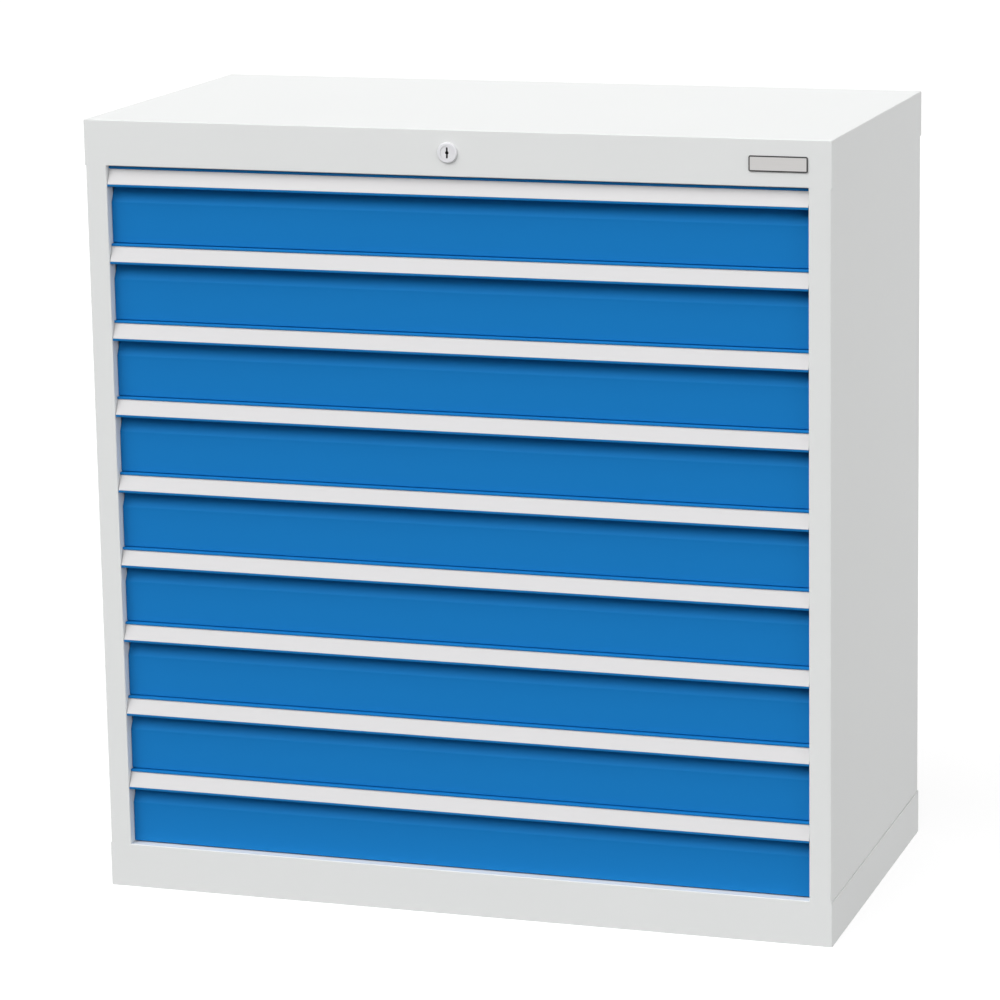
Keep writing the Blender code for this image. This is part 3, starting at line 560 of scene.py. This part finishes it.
def rectangle(low, high, radius):
    corners = [(low[0], low[1]), (high[0], low[1]), (high[0], high[1]), (low[0], high[1])]
    return rounded([(corner, radius) for corner in corners])


def circle(centre, radius, sides=ROUND_SIDES):
    turns = [2 * math.pi * i / sides for i in range(sides)]
    return [(centre[0] + radius * math.cos(a), centre[1] + radius * math.sin(a)) for a in turns]


print("a bend has", BEND_STEPS, "faces")

# %% [markdown]
# ## Solids from sections
# A sweep is easy to build straight from its points. Holes, slots and hollows are cut with Boolean
# modifiers, which are applied at once so that no helper objects are left. Wide flat faces beside
# narrow bends would show a false gradient when they are shaded smooth, so every piece gets weighted
# normals: the large face keeps its own direction and only the bend turns.

# %% Helpers that make solids
OVERRUN = 5


def as_object(name, shape):
    bmesh.ops.recalc_face_normals(shape, faces=shape.faces)
    mesh = bpy.data.meshes.new(name)
    shape.to_mesh(mesh)
    shape.free()
    piece = bpy.data.objects.new(name, mesh)
    bpy.context.collection.objects.link(piece)
    return piece


def swept(outlines, axis, low, high):
    """One or more closed outlines in the two other axes, swept along X, Y or Z."""
    shape = bmesh.new()
    for outline in outlines:
        ends = []
        for along in (low, high):
            places = [list(point) for point in outline]
            for place in places:
                place.insert("XYZ".index(axis), along)
            ends.append([shape.verts.new(place) for place in places])
        start, end = ends
        shape.faces.new(start)
        shape.faces.new(reversed(end))
        for i, corner in enumerate(start):
            shape.faces.new((start[i - 1], end[i - 1], end[i], corner))
    return shape


def block(low, high, radius=0, rounds=None):
    """A box. Its edges for which rounds(direction, middle) is true are rounded."""
    shape = bmesh.new()
    bmesh.ops.create_cube(shape, size=1)
    for vertex in shape.verts:
        vertex.co = [h if c > 0 else l for c, l, h in zip(vertex.co, low, high)]
    if radius:
        chosen = []
        for edge in shape.edges:
            one, other = (vertex.co for vertex in edge.verts)
            direction = "XYZ"[[abs(d) > 0 for d in one - other].index(True)]
            if rounds(direction, (one + other) / 2):
                chosen.append(edge)
        bmesh.ops.bevel(shape, geom=chosen, offset=radius, segments=BEND_STEPS, profile=0.5,
                        affect="EDGES")
    return shape


print("solids: sweeps and blocks, whose cuts overrun by", OVERRUN, "mm")

# %% Helpers that cut, place and dress a piece
SHARP_ANGLE = math.radians(35)


def combine(piece, shape, operation="DIFFERENCE"):
    """Cuts a shape out of a piece, or joins it, and applies that to the piece's mesh."""
    tool = as_object("tool", shape)
    step = piece.modifiers.new("combine", "BOOLEAN")
    step.operation = operation
    step.object = tool
    graph = bpy.context.evaluated_depsgraph_get()
    piece.data = bpy.data.meshes.new_from_object(piece.evaluated_get(graph))
    piece.modifiers.clear()
    bpy.data.objects.remove(tool)


def placed(name, mesh, rise=0, side=1):
    """A copy of a mesh in millimetres as a piece in metres, raised or mirrored to the left side."""
    mesh = mesh.copy()
    mesh.transform(Matrix.Translation((0, 0, rise)))
    mesh.transform(Matrix.Diagonal((side * MM, MM, MM, 1)))
    if side < 0:
        mesh.flip_normals()
    piece = bpy.data.objects.new(name, mesh)
    piece.matrix_world = ORIGIN
    bpy.context.collection.objects.link(piece)
    return piece


def dressed(piece, finish, body, node):
    """Gives a placed piece its finish, its body and the frame node that it stands for."""
    piece.data.materials.append(finish)
    piece.data.shade_smooth()
    piece.data.set_sharp_from_angle(angle=SHARP_ANGLE)
    flat = piece.modifiers.new("flat_faces_stay_flat", "WEIGHTED_NORMAL")
    flat.keep_sharp = True
    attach(piece, body)
    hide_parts(node)


print("pieces: sharp edges above", round(math.degrees(SHARP_ANGLE)), "degrees")

# %% [markdown]
# ## The lid
# The lid is a tray turned over the case. Its front wall is the top rail, which is coplanar with
# the stiles below it, so no line shows between them in the photograph. Its lower edge is folded
# inwards over the drawers, and only there is it rounded: above the stiles it stays sharp to close
# the joint. Its corners are welded and ground, so a rounded block with its inside cut away suits it
# better than five folded walls would.

# %% Build the lid
LID_CORNER = 1.2
LID_LIP = 14
RAIL_EDGE = 1.2
LOCK_Z = (PLUG_LOW.z + PLUG_HIGH.z) / 2
LOCK_HOLE = 11.3
LOCK_HOLE_SIDES = 64


def edge_rounding(height, radius):
    """The waste that is cut from a lower front edge at this height to round it, in Y and Z."""
    arc = fillet((radius, height), (0, height), (0, height + radius), radius)
    return arc + [(-OVERRUN, height + radius), (-OVERRUN, height - OVERRUN),
                  (radius, height - OVERRUN)]


def make_lid():
    lid = as_object("lid", block(
        LID_LOW, LID_HIGH, LID_CORNER,
        lambda direction, middle: direction == "Z" or middle.z == LID_HIGH.z))
    rear, top = LID_HIGH.y - SHEET, LID_HIGH.z - SHEET
    hollow = [(LID_LIP, RAIL_FOOT - OVERRUN), (rear, RAIL_FOOT - OVERRUN), (rear, top),
              (SHEET, top), (SHEET, RAIL_FOOT + SHEET), (LID_LIP, RAIL_FOOT + SHEET)]
    combine(lid, swept([hollow], "X", LID_LOW.x + SHEET, LID_HIGH.x - SHEET))
    waste = edge_rounding(RAIL_FOOT, RAIL_EDGE)
    combine(lid, swept([waste], "X", -OPENING_HALF, OPENING_HALF))
    hole = circle((0, LOCK_Z), LOCK_HOLE, LOCK_HOLE_SIDES)
    combine(lid, swept([hole], "Y", -OVERRUN, OVERRUN))
    dressed(placed("lid_shell", lid.data), case_paint, "case", "top_cover")
    bpy.data.objects.remove(lid)


make_lid()
print("lid:", [round(size) for size in LID_HIGH - LID_LOW], "mm, lock hole at", round(LOCK_Z, 1))

# %% [markdown]
# ## The side panels
# Each side is one sheet with its stile: from the front it is folded back beside the opening, and at
# the rear it has a flange to which the back is spot welded. It stands 1.3 mm inside the lid and the
# plinth, which gives the two thin steps down the side of the cabinet. All its bends are upright, so
# one plan is folded and swept upwards, and the left side is the mirrored right one.

# %% Build the side panels
STILE_RETURN = 18
REAR_FLANGE = 20
LID_NOTCH = LID_LIP + FIT_GAP


def make_sides():
    half = SHEET / 2
    plan = [(OPENING_HALF + half, STILE_RETURN), (OPENING_HALF + half, half),
            (SIDE_HIGH.x - half, half), (SIDE_HIGH.x - half, SIDE_HIGH.y - half),
            (SIDE_HIGH.x - REAR_FLANGE, SIDE_HIGH.y - half)]
    side = as_object("side", swept([folded(plan, SHEET, CASE_BEND)], "Z", PLINTH_TOP, SIDE_HIGH.z))
    skin = SIDE_HIGH.x - SHEET
    notch = [(OPENING_HALF - OVERRUN, -OVERRUN), (SIDE_HIGH.x + OVERRUN, -OVERRUN),
             (SIDE_HIGH.x + OVERRUN, LID_NOTCH), (skin, LID_NOTCH), (skin, STILE_RETURN + OVERRUN),
             (OPENING_HALF - OVERRUN, STILE_RETURN + OVERRUN)]
    combine(side, swept([notch], "Z", RAIL_FOOT, SIDE_HIGH.z + OVERRUN))
    for name, turn in (("right", 1), ("left", -1)):
        panel = placed(f"side_sheet_{name}", side.data, side=turn)
        dressed(panel, case_paint, "case", f"side_panel_{name}")
    bpy.data.objects.remove(side)


make_sides()
print("sides: stile", round(SIDE_HIGH.x - OPENING_HALF, 1), "mm wide")

# %% [markdown]
# ## The plinth
# The plinth is a folded ring. Its front closes the opening from below with a narrow ledge, whose
# front edge catches the light as a pale line under the lowest drawer. Four folded sheets would need
# mitres at the corners, so it is a block with three hollows cut out of it: between the walls,
# through the top inside the ledge, and through the foot inside its flange.

# %% Build the plinth
PLINTH_CORNER = 1.2
LEDGE_EDGE = 1
LEDGE_DEPTH = 45
SHELF_DEPTH = 30
FOOT_FLANGE = 20


def make_plinth():
    plinth = as_object("plinth", block(PLINTH_LOW, PLINTH_HIGH, PLINTH_CORNER,
                                       lambda direction, middle: direction == "Z"))
    half_width, rear = PLINTH_HIGH.x, PLINTH_HIGH.y
    middle = PLINTH_TOP / 2
    for edge, front, low, high in (
            (SHEET, SHEET, SHEET, PLINTH_TOP - SHEET),
            (SHELF_DEPTH, LEDGE_DEPTH, middle, PLINTH_TOP + OVERRUN),
            (FOOT_FLANGE, FOOT_FLANGE, -OVERRUN, middle)):
        combine(plinth, block((edge - half_width, front, low),
                              (half_width - edge, rear - edge, high)))
    waste = [(d, 2 * PLINTH_TOP - z) for d, z in edge_rounding(PLINTH_TOP, LEDGE_EDGE)]
    combine(plinth, swept([waste], "X", -OPENING_HALF, OPENING_HALF))
    dressed(placed("plinth_ring", plinth.data), case_paint, "case", "base_plinth")
    bpy.data.objects.remove(plinth)


make_plinth()
print("plinth:", round(PLINTH_TOP, 1), "mm high, ledge", LEDGE_DEPTH, "mm deep")

# %% [markdown]
# ## Back, floor and crossmember
# These three are plain folded sheets behind the drawers: a back whose upright edges are folded
# forward, a floor with a dropped middle and a stepped bar under the lid. Each is one folded path
# that is swept straight, with finer bends than the frame's.

# %% Build the inner sheets
FLOOR_DROP = 10
FLOOR_STEP = 1.5
WEB_SHEET = 1.2
INNER_BEND = 1


def make_sheet(name, node, section, sheet, axis, low, high):
    """A folded sheet that stands for a node of the case."""
    drawn = as_object(name, swept([folded(section, sheet, INNER_BEND)], axis, low, high))
    dressed(placed(f"{name}_sheet", drawn.data), case_paint, "case", node)
    bpy.data.objects.remove(drawn)


def make_inner_sheets():
    half = SHEET / 2
    low, high = measured("back_panel")
    edge, face = high.x - half, high.y - half
    plan = [(-edge, low.y), (-edge, face), (edge, face), (edge, low.y)]
    make_sheet("back", "back_panel", plan, SHEET, "Z", low.z, high.z)

    low, high = measured("bottom_panel")
    rim = high.z - half
    front, rear = LEDGE_DEPTH + FLOOR_STEP, PLINTH_HIGH.y - SHELF_DEPTH - FLOOR_STEP
    section = [(low.y, rim), (front, rim), (front, rim - FLOOR_DROP), (rear, rim - FLOOR_DROP),
               (rear, rim), (high.y, rim)]
    make_sheet("floor", "bottom_panel", section, SHEET, "X", low.x, high.x)

    low, high = measured("top_crossmember")
    shelf, top = low.z + WEB_SHEET / 2, high.z - WEB_SHEET / 2
    web = measured("lock_slide_bar")[1].y + FIT_GAP + WEB_SHEET / 2
    section = [(low.y, shelf), (web, shelf), (web, top), (high.y, top)]
    make_sheet("crossmember", "top_crossmember", section, WEB_SHEET, "X", low.x, high.x)


make_inner_sheets()
print("inner sheets: back, floor and crossmember, floor dropped by", FLOOR_DROP, "mm")

# %% [markdown]
# ## The drawer fronts
# A front is a shallow pan. Its top is rolled forward into a grip that runs its whole width: a bead
# at the top, a leaning face with a recess for the label strip, and a rounded nose at the bottom
# that fingers pull on. Behind the grip the panel bends back to make room for the fingers. The lean,
# the overhang and this bend were measured from the photograph, at the left ends of the fronts,
# where the edge of each panel shows against the stile's return. None of these forms changes along
# the front, so one section is swept across, hollowed at the rear and copied for every drawer.

# %% Draw the section of a front
FRONT_SHEET = 1.2
PANEL_DEPTH = 12.5
GRIP_FOOT = 52.9
GRIP_RECESS = 10
GRIP_RISE = 18.4
GRIP_BEND = 3
HEAD_BEND = 1.5
FOLD = 1
BEAD_DEPTH = 7
BEAD_HEIGHT = 2.7
BEAD_EDGE = 0.25
NOSE_DEPTH = 0.4
NOSE_HEIGHT = 3
NOSE_HEM = 3
NOSE_ROUND = 1.6
HEM_ROUND = 0.5
STRIP_LEAN = 7.9
STRIP_SHEET = 1
STRIP_TOP_GAP = 0.25
STRIP_PLAY = 0.4
STRIP_SEAT = STRIP_SHEET + FIT_GAP
LIP_HEIGHT = 25.7
FRONT_LOW, FRONT_HIGH = measured("drawer_front_1")
FRONT_HEIGHT = FRONT_HIGH.z - FRONT_LOW.z
NOSE_FOOT = FRONT_HEIGHT - LIP_HEIGHT
NOSE_TOP = NOSE_FOOT + NOSE_HEIGHT
STRIP_FOOT = Vector((NOSE_DEPTH, NOSE_TOP))
STRIP_HEAD = Vector((NOSE_DEPTH + STRIP_LEAN, FRONT_HEIGHT - BEAD_HEIGHT - STRIP_TOP_GAP))
STRIP_UP = (STRIP_HEAD - STRIP_FOOT).normalized()
STRIP_OUT = Vector((-STRIP_UP.y, STRIP_UP.x))


def on_strip(inset, height):
    """The point at this height on the line that lies this far behind the strip's face."""
    start = STRIP_FOOT - STRIP_OUT * inset
    return tuple(start + STRIP_UP * ((height - start.y) / STRIP_UP.y))


def front_section():
    inner_top = FRONT_HEIGHT - FRONT_SHEET
    skin = STRIP_SEAT + FRONT_SHEET
    end = FRONT_HIGH.y
    recess = PANEL_DEPTH + GRIP_RECESS
    seat_foot = STRIP_FOOT - STRIP_OUT * STRIP_SEAT - STRIP_UP * STRIP_PLAY
    seat_head = STRIP_HEAD - STRIP_OUT * STRIP_SEAT + STRIP_UP * STRIP_PLAY
    return rounded([
        ((end, 0), 0), ((PANEL_DEPTH, 0), FOLD), ((PANEL_DEPTH, GRIP_FOOT), GRIP_BEND),
        ((recess, GRIP_FOOT + GRIP_RISE), HEAD_BEND), ((recess, inner_top), 0),
        (on_strip(skin, inner_top), 0), (on_strip(skin, NOSE_TOP), 0),
        ((NOSE_DEPTH + NOSE_HEM, NOSE_FOOT), HEM_ROUND), ((NOSE_DEPTH, NOSE_FOOT), NOSE_ROUND),
        ((NOSE_DEPTH, NOSE_TOP), 0), (tuple(seat_foot), 0), (tuple(seat_head), 0),
        ((BEAD_DEPTH, FRONT_HEIGHT - BEAD_HEIGHT), BEAD_EDGE), ((BEAD_DEPTH, FRONT_HEIGHT), FOLD),
        ((end, FRONT_HEIGHT), 0)])


print("front section:", len(front_section()), "points")

# %% Build the drawer fronts


def behind_recess(gap, depth):
    """The point at this depth on the line that lies this far behind the sloping sheet."""
    slope = Vector((GRIP_RECESS, GRIP_RISE)).normalized()
    start = Vector((PANEL_DEPTH, GRIP_FOOT)) + Vector((slope.y, -slope.x)) * gap
    return tuple(start + slope * ((depth - start.x) / slope.x))


def make_fronts():
    front = as_object("front", swept([front_section()], "X", FRONT_LOW.x, FRONT_HIGH.x))
    skin_back, beyond = PANEL_DEPTH + FRONT_SHEET, FRONT_HIGH.y + OVERRUN
    pocket = [(skin_back, FRONT_SHEET), (beyond, FRONT_SHEET), behind_recess(FRONT_SHEET, beyond),
              behind_recess(FRONT_SHEET, skin_back)]
    combine(front, swept([pocket], "X", FRONT_LOW.x + FRONT_SHEET, FRONT_HIGH.x - FRONT_SHEET))
    for k in DRAWERS:
        rise = measured(f"drawer_front_{k}")[0].z
        piece = placed(f"front_pan_{k}", front.data, rise)
        dressed(piece, front_paint, f"drawer_{k}", f"drawer_front_{k}")
    bpy.data.objects.remove(front)


make_fronts()
print("fronts:", len(DRAWERS), "of", round(FRONT_HEIGHT, 1), "mm")

# %% [markdown]
# ## The label strips
# A strip fills the whole recess: paper under a clear cover. The cover has a low rim along both long
# edges, which slides under the lips of the recess. A plain block would do from afar, but the rims
# catch the light, so the strip has a section of its own.

# %% Build the label strips
RIM_WIDTH = 0.9
RIM_HEIGHT = 0.2
STRIP_ROUND = 0.2
STRIP_LOW, STRIP_HIGH = measured("grip_strip_1")


def strip_section():
    foot = STRIP_FOOT + STRIP_UP * STRIP_PLAY
    head = STRIP_HEAD - STRIP_UP * STRIP_PLAY
    sunk = STRIP_OUT * RIM_HEIGHT
    rim = STRIP_UP * RIM_WIDTH
    back = STRIP_OUT * STRIP_SHEET
    step = STRIP_UP * RIM_HEIGHT
    return rounded([
        (foot, STRIP_ROUND), (foot + rim, 0), (foot + rim + step - sunk, 0),
        (head - rim - step - sunk, 0), (head - rim, 0), (head, STRIP_ROUND),
        (head - back, STRIP_ROUND), (foot - back, STRIP_ROUND)])


def make_strips():
    strip = as_object("strip", swept([strip_section()], "X", STRIP_LOW.x, STRIP_HIGH.x))
    for k in DRAWERS:
        rise = measured(f"drawer_front_{k}")[0].z
        piece = placed(f"label_strip_{k}", strip.data, rise)
        dressed(piece, strip_finish, f"drawer_{k}", f"grip_strip_{k}")
    bpy.data.objects.remove(strip)


make_strips()
print("strips:", [round(v, 1) for v in STRIP_HEAD - STRIP_FOOT], "mm lean and rise")

# %% [markdown]
# ## The slides and the trays
# Each drawer runs on two telescopic slides. The middle member is a rolled channel, and the drawer's
# own member is a hat section on the side of the tray. The tray is a pan with rounded corners whose
# rim is folded in, with slots in its front and rear walls for partitions. Its front is cut away
# where the drawer front bends back for the fingers. Channel and hat are folded paths. The pan's
# corners are round on every side, which blocks cut from a block give more easily than folds.

# %% Build the slides' middle members
SLIDE_SHEET = 1.2
SLIDE_LIP = 4.6
SLIDE_BEND = 0.5
BALL_PLAY = 0.4
RIVET_HOLES = range(30, 351, 80)
RIVET_RADIUS = 2.6
RIVET_SIDES = 24
SLIDE_LOW, SLIDE_HIGH = measured("slide_member_right_1")
SLIDE_MIDDLE = (SLIDE_LOW.z + SLIDE_HIGH.z) / 2 - FRONT_LOW.z
SLIDE_HALF = (SLIDE_HIGH.z - SLIDE_LOW.z) / 2


def make_slides():
    half = SLIDE_SHEET / 2
    mouth, web, rim = SLIDE_LOW.x + half, SLIDE_HIGH.x - half, SLIDE_HALF - half
    tip = SLIDE_HALF - SLIDE_LIP
    path = [(mouth, tip), (mouth, rim), (web, rim), (web, -rim), (mouth, -rim), (mouth, -tip)]
    section = [(x, z + SLIDE_MIDDLE) for x, z in folded(path, SLIDE_SHEET, SLIDE_BEND)]
    member = as_object("member", swept([section], "Y", SLIDE_LOW.y, SLIDE_HIGH.y))
    holes = [circle((SLIDE_LOW.y + along, SLIDE_MIDDLE), RIVET_RADIUS, RIVET_SIDES)
             for along in RIVET_HOLES]
    combine(member, swept(holes, "X", SLIDE_HIGH.x - 2 * SLIDE_SHEET, SLIDE_HIGH.x + OVERRUN))
    for k in DRAWERS:
        rise = measured(f"drawer_front_{k}")[0].z
        for side, turn in (("right", 1), ("left", -1)):
            piece = placed(f"slide_channel_{side}_{k}", member.data, rise, turn)
            dressed(piece, zinc_finish, f"slides_{k}", f"slide_member_{side}_{k}")
    bpy.data.objects.remove(member)


make_slides()
print("slides:", 2 * len(DRAWERS), "channels", round(SLIDE_HIGH.y - SLIDE_LOW.y), "mm long")

# %% Make a tray's pan
TRAY_SHEET = 1
TRAY_HEM = 8
TRAY_CORNER = 2
LUG_WIDTH = 8.5
PARTITION_PITCH = 50
PARTITION_SLOTS = 17
PARTITION_WIDTH = 1.6
PARTITION_ROUND = 0.7
PARTITION_LOW, PARTITION_HIGH = 18, 46
TRAY_LOW, TRAY_HIGH = measured("drawer_tray_1")


def tray_pan():
    """The pan with its folded rim, slots and slanted front, above the foot of its drawer."""
    half = TRAY_HIGH.x - LUG_WIDTH
    floor, top = TRAY_LOW.z - FRONT_LOW.z, TRAY_HIGH.z - FRONT_LOW.z
    low, high = Vector((-half, TRAY_LOW.y, floor)), Vector((half, TRAY_HIGH.y, top))
    wall, hem = Vector((TRAY_SHEET,) * 3), Vector((TRAY_SHEET + TRAY_HEM,) * 3)
    pan = as_object("tray", block(low, high, TRAY_CORNER, lambda direction, middle: True))
    combine(pan, block(low + wall, high - wall, TRAY_CORNER / 2, lambda direction, middle: True))
    mouth_low, mouth_high = low + hem, high - hem
    mouth_low.z, mouth_high.z = (floor + top) / 2, top + OVERRUN
    combine(pan, block(mouth_low, mouth_high, TRAY_CORNER,
                       lambda direction, middle: direction == "Z"))
    places = [(i - (PARTITION_SLOTS - 1) / 2) * PARTITION_PITCH for i in range(PARTITION_SLOTS)]
    slots = [rectangle((x - PARTITION_WIDTH / 2, PARTITION_LOW),
                       (x + PARTITION_WIDTH / 2, PARTITION_HIGH), PARTITION_ROUND)
             for x in places]
    combine(pan, swept(slots, "Y", low.y - OVERRUN, high.y + OVERRUN))
    clear, before, gap = FRONT_HIGH.y + FIT_GAP, low.y - OVERRUN, FRONT_SHEET + FIT_GAP
    room = [behind_recess(gap, before), behind_recess(gap, clear), (clear, top + OVERRUN),
            (before, top + OVERRUN)]
    combine(pan, swept([room], "X", low.x - OVERRUN, high.x + OVERRUN))
    return pan, half, top


print("pan:", PARTITION_SLOTS, "slots at", PARTITION_PITCH, "mm")

# %% Add hats and lugs, and build the trays
LUG_SHEET = 2
LUG_HEIGHT = 8
LUG_DROP = 1
LUG_ROUND = 1.5
LUG_SETBACK = 3
HAT_GAP = 1.4


def make_trays():
    tray, side, top = tray_pan()
    half = SLIDE_SHEET / 2
    tip = SLIDE_LOW.x + SLIDE_SHEET + BALL_PLAY + half
    rim = SLIDE_HALF - SLIDE_SHEET - BALL_PLAY
    leg = SLIDE_HALF - SLIDE_LIP - HAT_GAP
    hat = [(tip, rim), (tip, leg), (side, leg), (side, -leg), (tip, -leg), (tip, -rim)]
    section = [(x, z + SLIDE_MIDDLE) for x, z in folded(hat, SLIDE_SHEET, SLIDE_BEND)]
    other = [(-x, z) for x, z in section]
    combine(tray, swept([section, other], "Y", SLIDE_LOW.y, SLIDE_HIGH.y), "UNION")
    lug = measured("locking_bar")[0].y + LUG_SETBACK
    lug_low = (side - TRAY_SHEET / 2, lug, top - LUG_DROP - LUG_HEIGHT)
    lug_high = (side + LUG_WIDTH, lug + LUG_SHEET, top - LUG_DROP)
    combine(tray, block(lug_low, lug_high, LUG_ROUND,
                        lambda direction, middle: direction == "Y" and middle.x > side), "UNION")
    for k in DRAWERS:
        rise = measured(f"drawer_front_{k}")[0].z
        piece = placed(f"tray_pan_{k}", tray.data, rise)
        dressed(piece, case_paint, f"drawer_{k}", f"drawer_tray_{k}")
    bpy.data.objects.remove(tray)


make_trays()
print("trays:", [round(size) for size in TRAY_HIGH - TRAY_LOW], "mm")

# %% [markdown]
# ## The lock
# The housing is turned: a barrel behind the rail and a flat rosette with a rounded edge in front of
# it. The cylinder sits in it, set back a little, with an upright keyhole: a slot for the key's bit
# and a round hole for its shank. Cylinders joined by Booleans would have sharp edges, so each
# turned piece is a profile with rounded corners that is swept round the lock's axis.

# %% Build the lock
HOUSING_LOW, HOUSING_HIGH = measured("lock_housing")
BARREL_RADIUS = 11
PLUG_RADIUS = (PLUG_HIGH.x - PLUG_LOW.x) / 2
PLUG_EDGE = 0.25
PLUG_PLAY = 0.15
BORE_RADIUS = PLUG_RADIUS + PLUG_PLAY
BORE_EDGE = 0.2
ROSETTE_RADIUS = (HOUSING_HIGH.x - HOUSING_LOW.x) / 2
ROSETTE_EDGE = 1.4
KEY_SLOT = (2.4, 14)
KEY_SLOT_ROUND = 0.9
KEY_SHANK = 2.3
KEY_DEPTH = 9
SHANK_DEPTH = 11
STUB_RADIUS = 4
STUB_EDGE = 0.3
TURNED_SIDES = 96
SAME_PLACE = 1e-5


def turned(profile):
    """A solid of revolution along Y, from a closed profile of radius and depth."""
    shape = bmesh.new()
    rings = []
    for i in range(TURNED_SIDES):
        angle = 2 * math.pi * i / TURNED_SIDES
        across, up = math.cos(angle), math.sin(angle)
        rings.append([shape.verts.new((r * across, d, r * up + LOCK_Z)) for r, d in profile])
    for i, ring in enumerate(rings):
        for j, corner in enumerate(ring):
            shape.faces.new((rings[i - 1][j - 1], rings[i - 1][j], corner, ring[j - 1]))
    bmesh.ops.remove_doubles(shape, verts=shape.verts, dist=SAME_PLACE)
    return shape


def make_lock():
    front, back = HOUSING_LOW.y, HOUSING_HIGH.y
    housing = as_object("housing", turned(rounded([
        ((BORE_RADIUS, back), 0), ((BORE_RADIUS, front), BORE_EDGE),
        ((ROSETTE_RADIUS, front), ROSETTE_EDGE), ((ROSETTE_RADIUS, -FIT_GAP), 0),
        ((BARREL_RADIUS, -FIT_GAP), 0), ((BARREL_RADIUS, back), 0)])))
    piece = placed("lock_rosette", housing.data)
    dressed(piece, lock_finish, "case", "lock_housing")
    bpy.data.objects.remove(housing)

    face, end = PLUG_LOW.y, PLUG_HIGH.y
    plug = as_object("plug", turned(rounded([
        ((0, face), 0), ((PLUG_RADIUS, face), PLUG_EDGE), ((PLUG_RADIUS, back), 0),
        ((STUB_RADIUS, back), 0), ((STUB_RADIUS, end), STUB_EDGE), ((0, end), 0)])))
    width, height = (size / 2 for size in KEY_SLOT)
    slot = rectangle((-width, LOCK_Z - height), (width, LOCK_Z + height), width * KEY_SLOT_ROUND)
    combine(plug, swept([slot], "Y", face - OVERRUN, face + KEY_DEPTH))
    shank = circle((0, LOCK_Z), KEY_SHANK)
    combine(plug, swept([shank], "Y", face - OVERRUN, face + SHANK_DEPTH))
    piece = placed("lock_plug_face", plug.data)
    dressed(piece, plug_finish, "lock_plug", "lock_cylinder")
    bpy.data.objects.remove(plug)


make_lock()
print("lock: rosette", round(2 * ROSETTE_RADIUS, 1), "mm, proud by", round(-HOUSING_LOW.y, 1))

# %% [markdown]
# ## The plate
# The plate is a thin sheet with rounded corners and a face of brushed foil. It stays bare.

# %% Build the plate
PLATE_EDGE = 0.25
PLATE_EDGE_STEPS = 3


def make_plate():
    outline = rectangle((PLATE_LOW.x, PLATE_LOW.z), (PLATE_HIGH.x, PLATE_HIGH.z), PLATE_CORNER)
    shape = swept([outline], "Y", PLATE_LOW.y, PLATE_HIGH.y)
    front = [edge for edge in shape.edges if all(v.co.y == PLATE_LOW.y for v in edge.verts)]
    bmesh.ops.bevel(shape, geom=front, offset=PLATE_EDGE, segments=PLATE_EDGE_STEPS,
                    profile=0.5, affect="EDGES")
    plate = as_object("plate", shape)
    dressed(placed("plate_face", plate.data), plate_finish, "case", "name_plate")
    bpy.data.objects.remove(plate)


make_plate()
print("plate:", [round(size, 1) for size in PLATE_HIGH - PLATE_LOW], "mm")

# %% [markdown]
# ## Finishes for the frame's own pieces
# The runner frames, the cam, the slide bar and the locking bar hide deep in the case, so the
# frame's own solids are fine enough for them. They only need their finish, which the record names
# for each piece by its slot.

# %% Finish the scene
FINISHES = {"case_paint": case_paint, "front_paint": front_paint, "strip_plastic": strip_finish,
            "zinc_steel": zinc_finish, "lock_finish": lock_finish, "plate_metal": plate_finish}
SLOTS = {row["node"]: row["material_slot"] for row in frame["record"]["subparts"]}
for node, part in frame["nodes"].items():
    part.data.materials.clear()
    part.data.materials.append(FINISHES[SLOTS[node]])

print("finishes:", len(FINISHES), "on", len(SLOTS), "frame pieces")
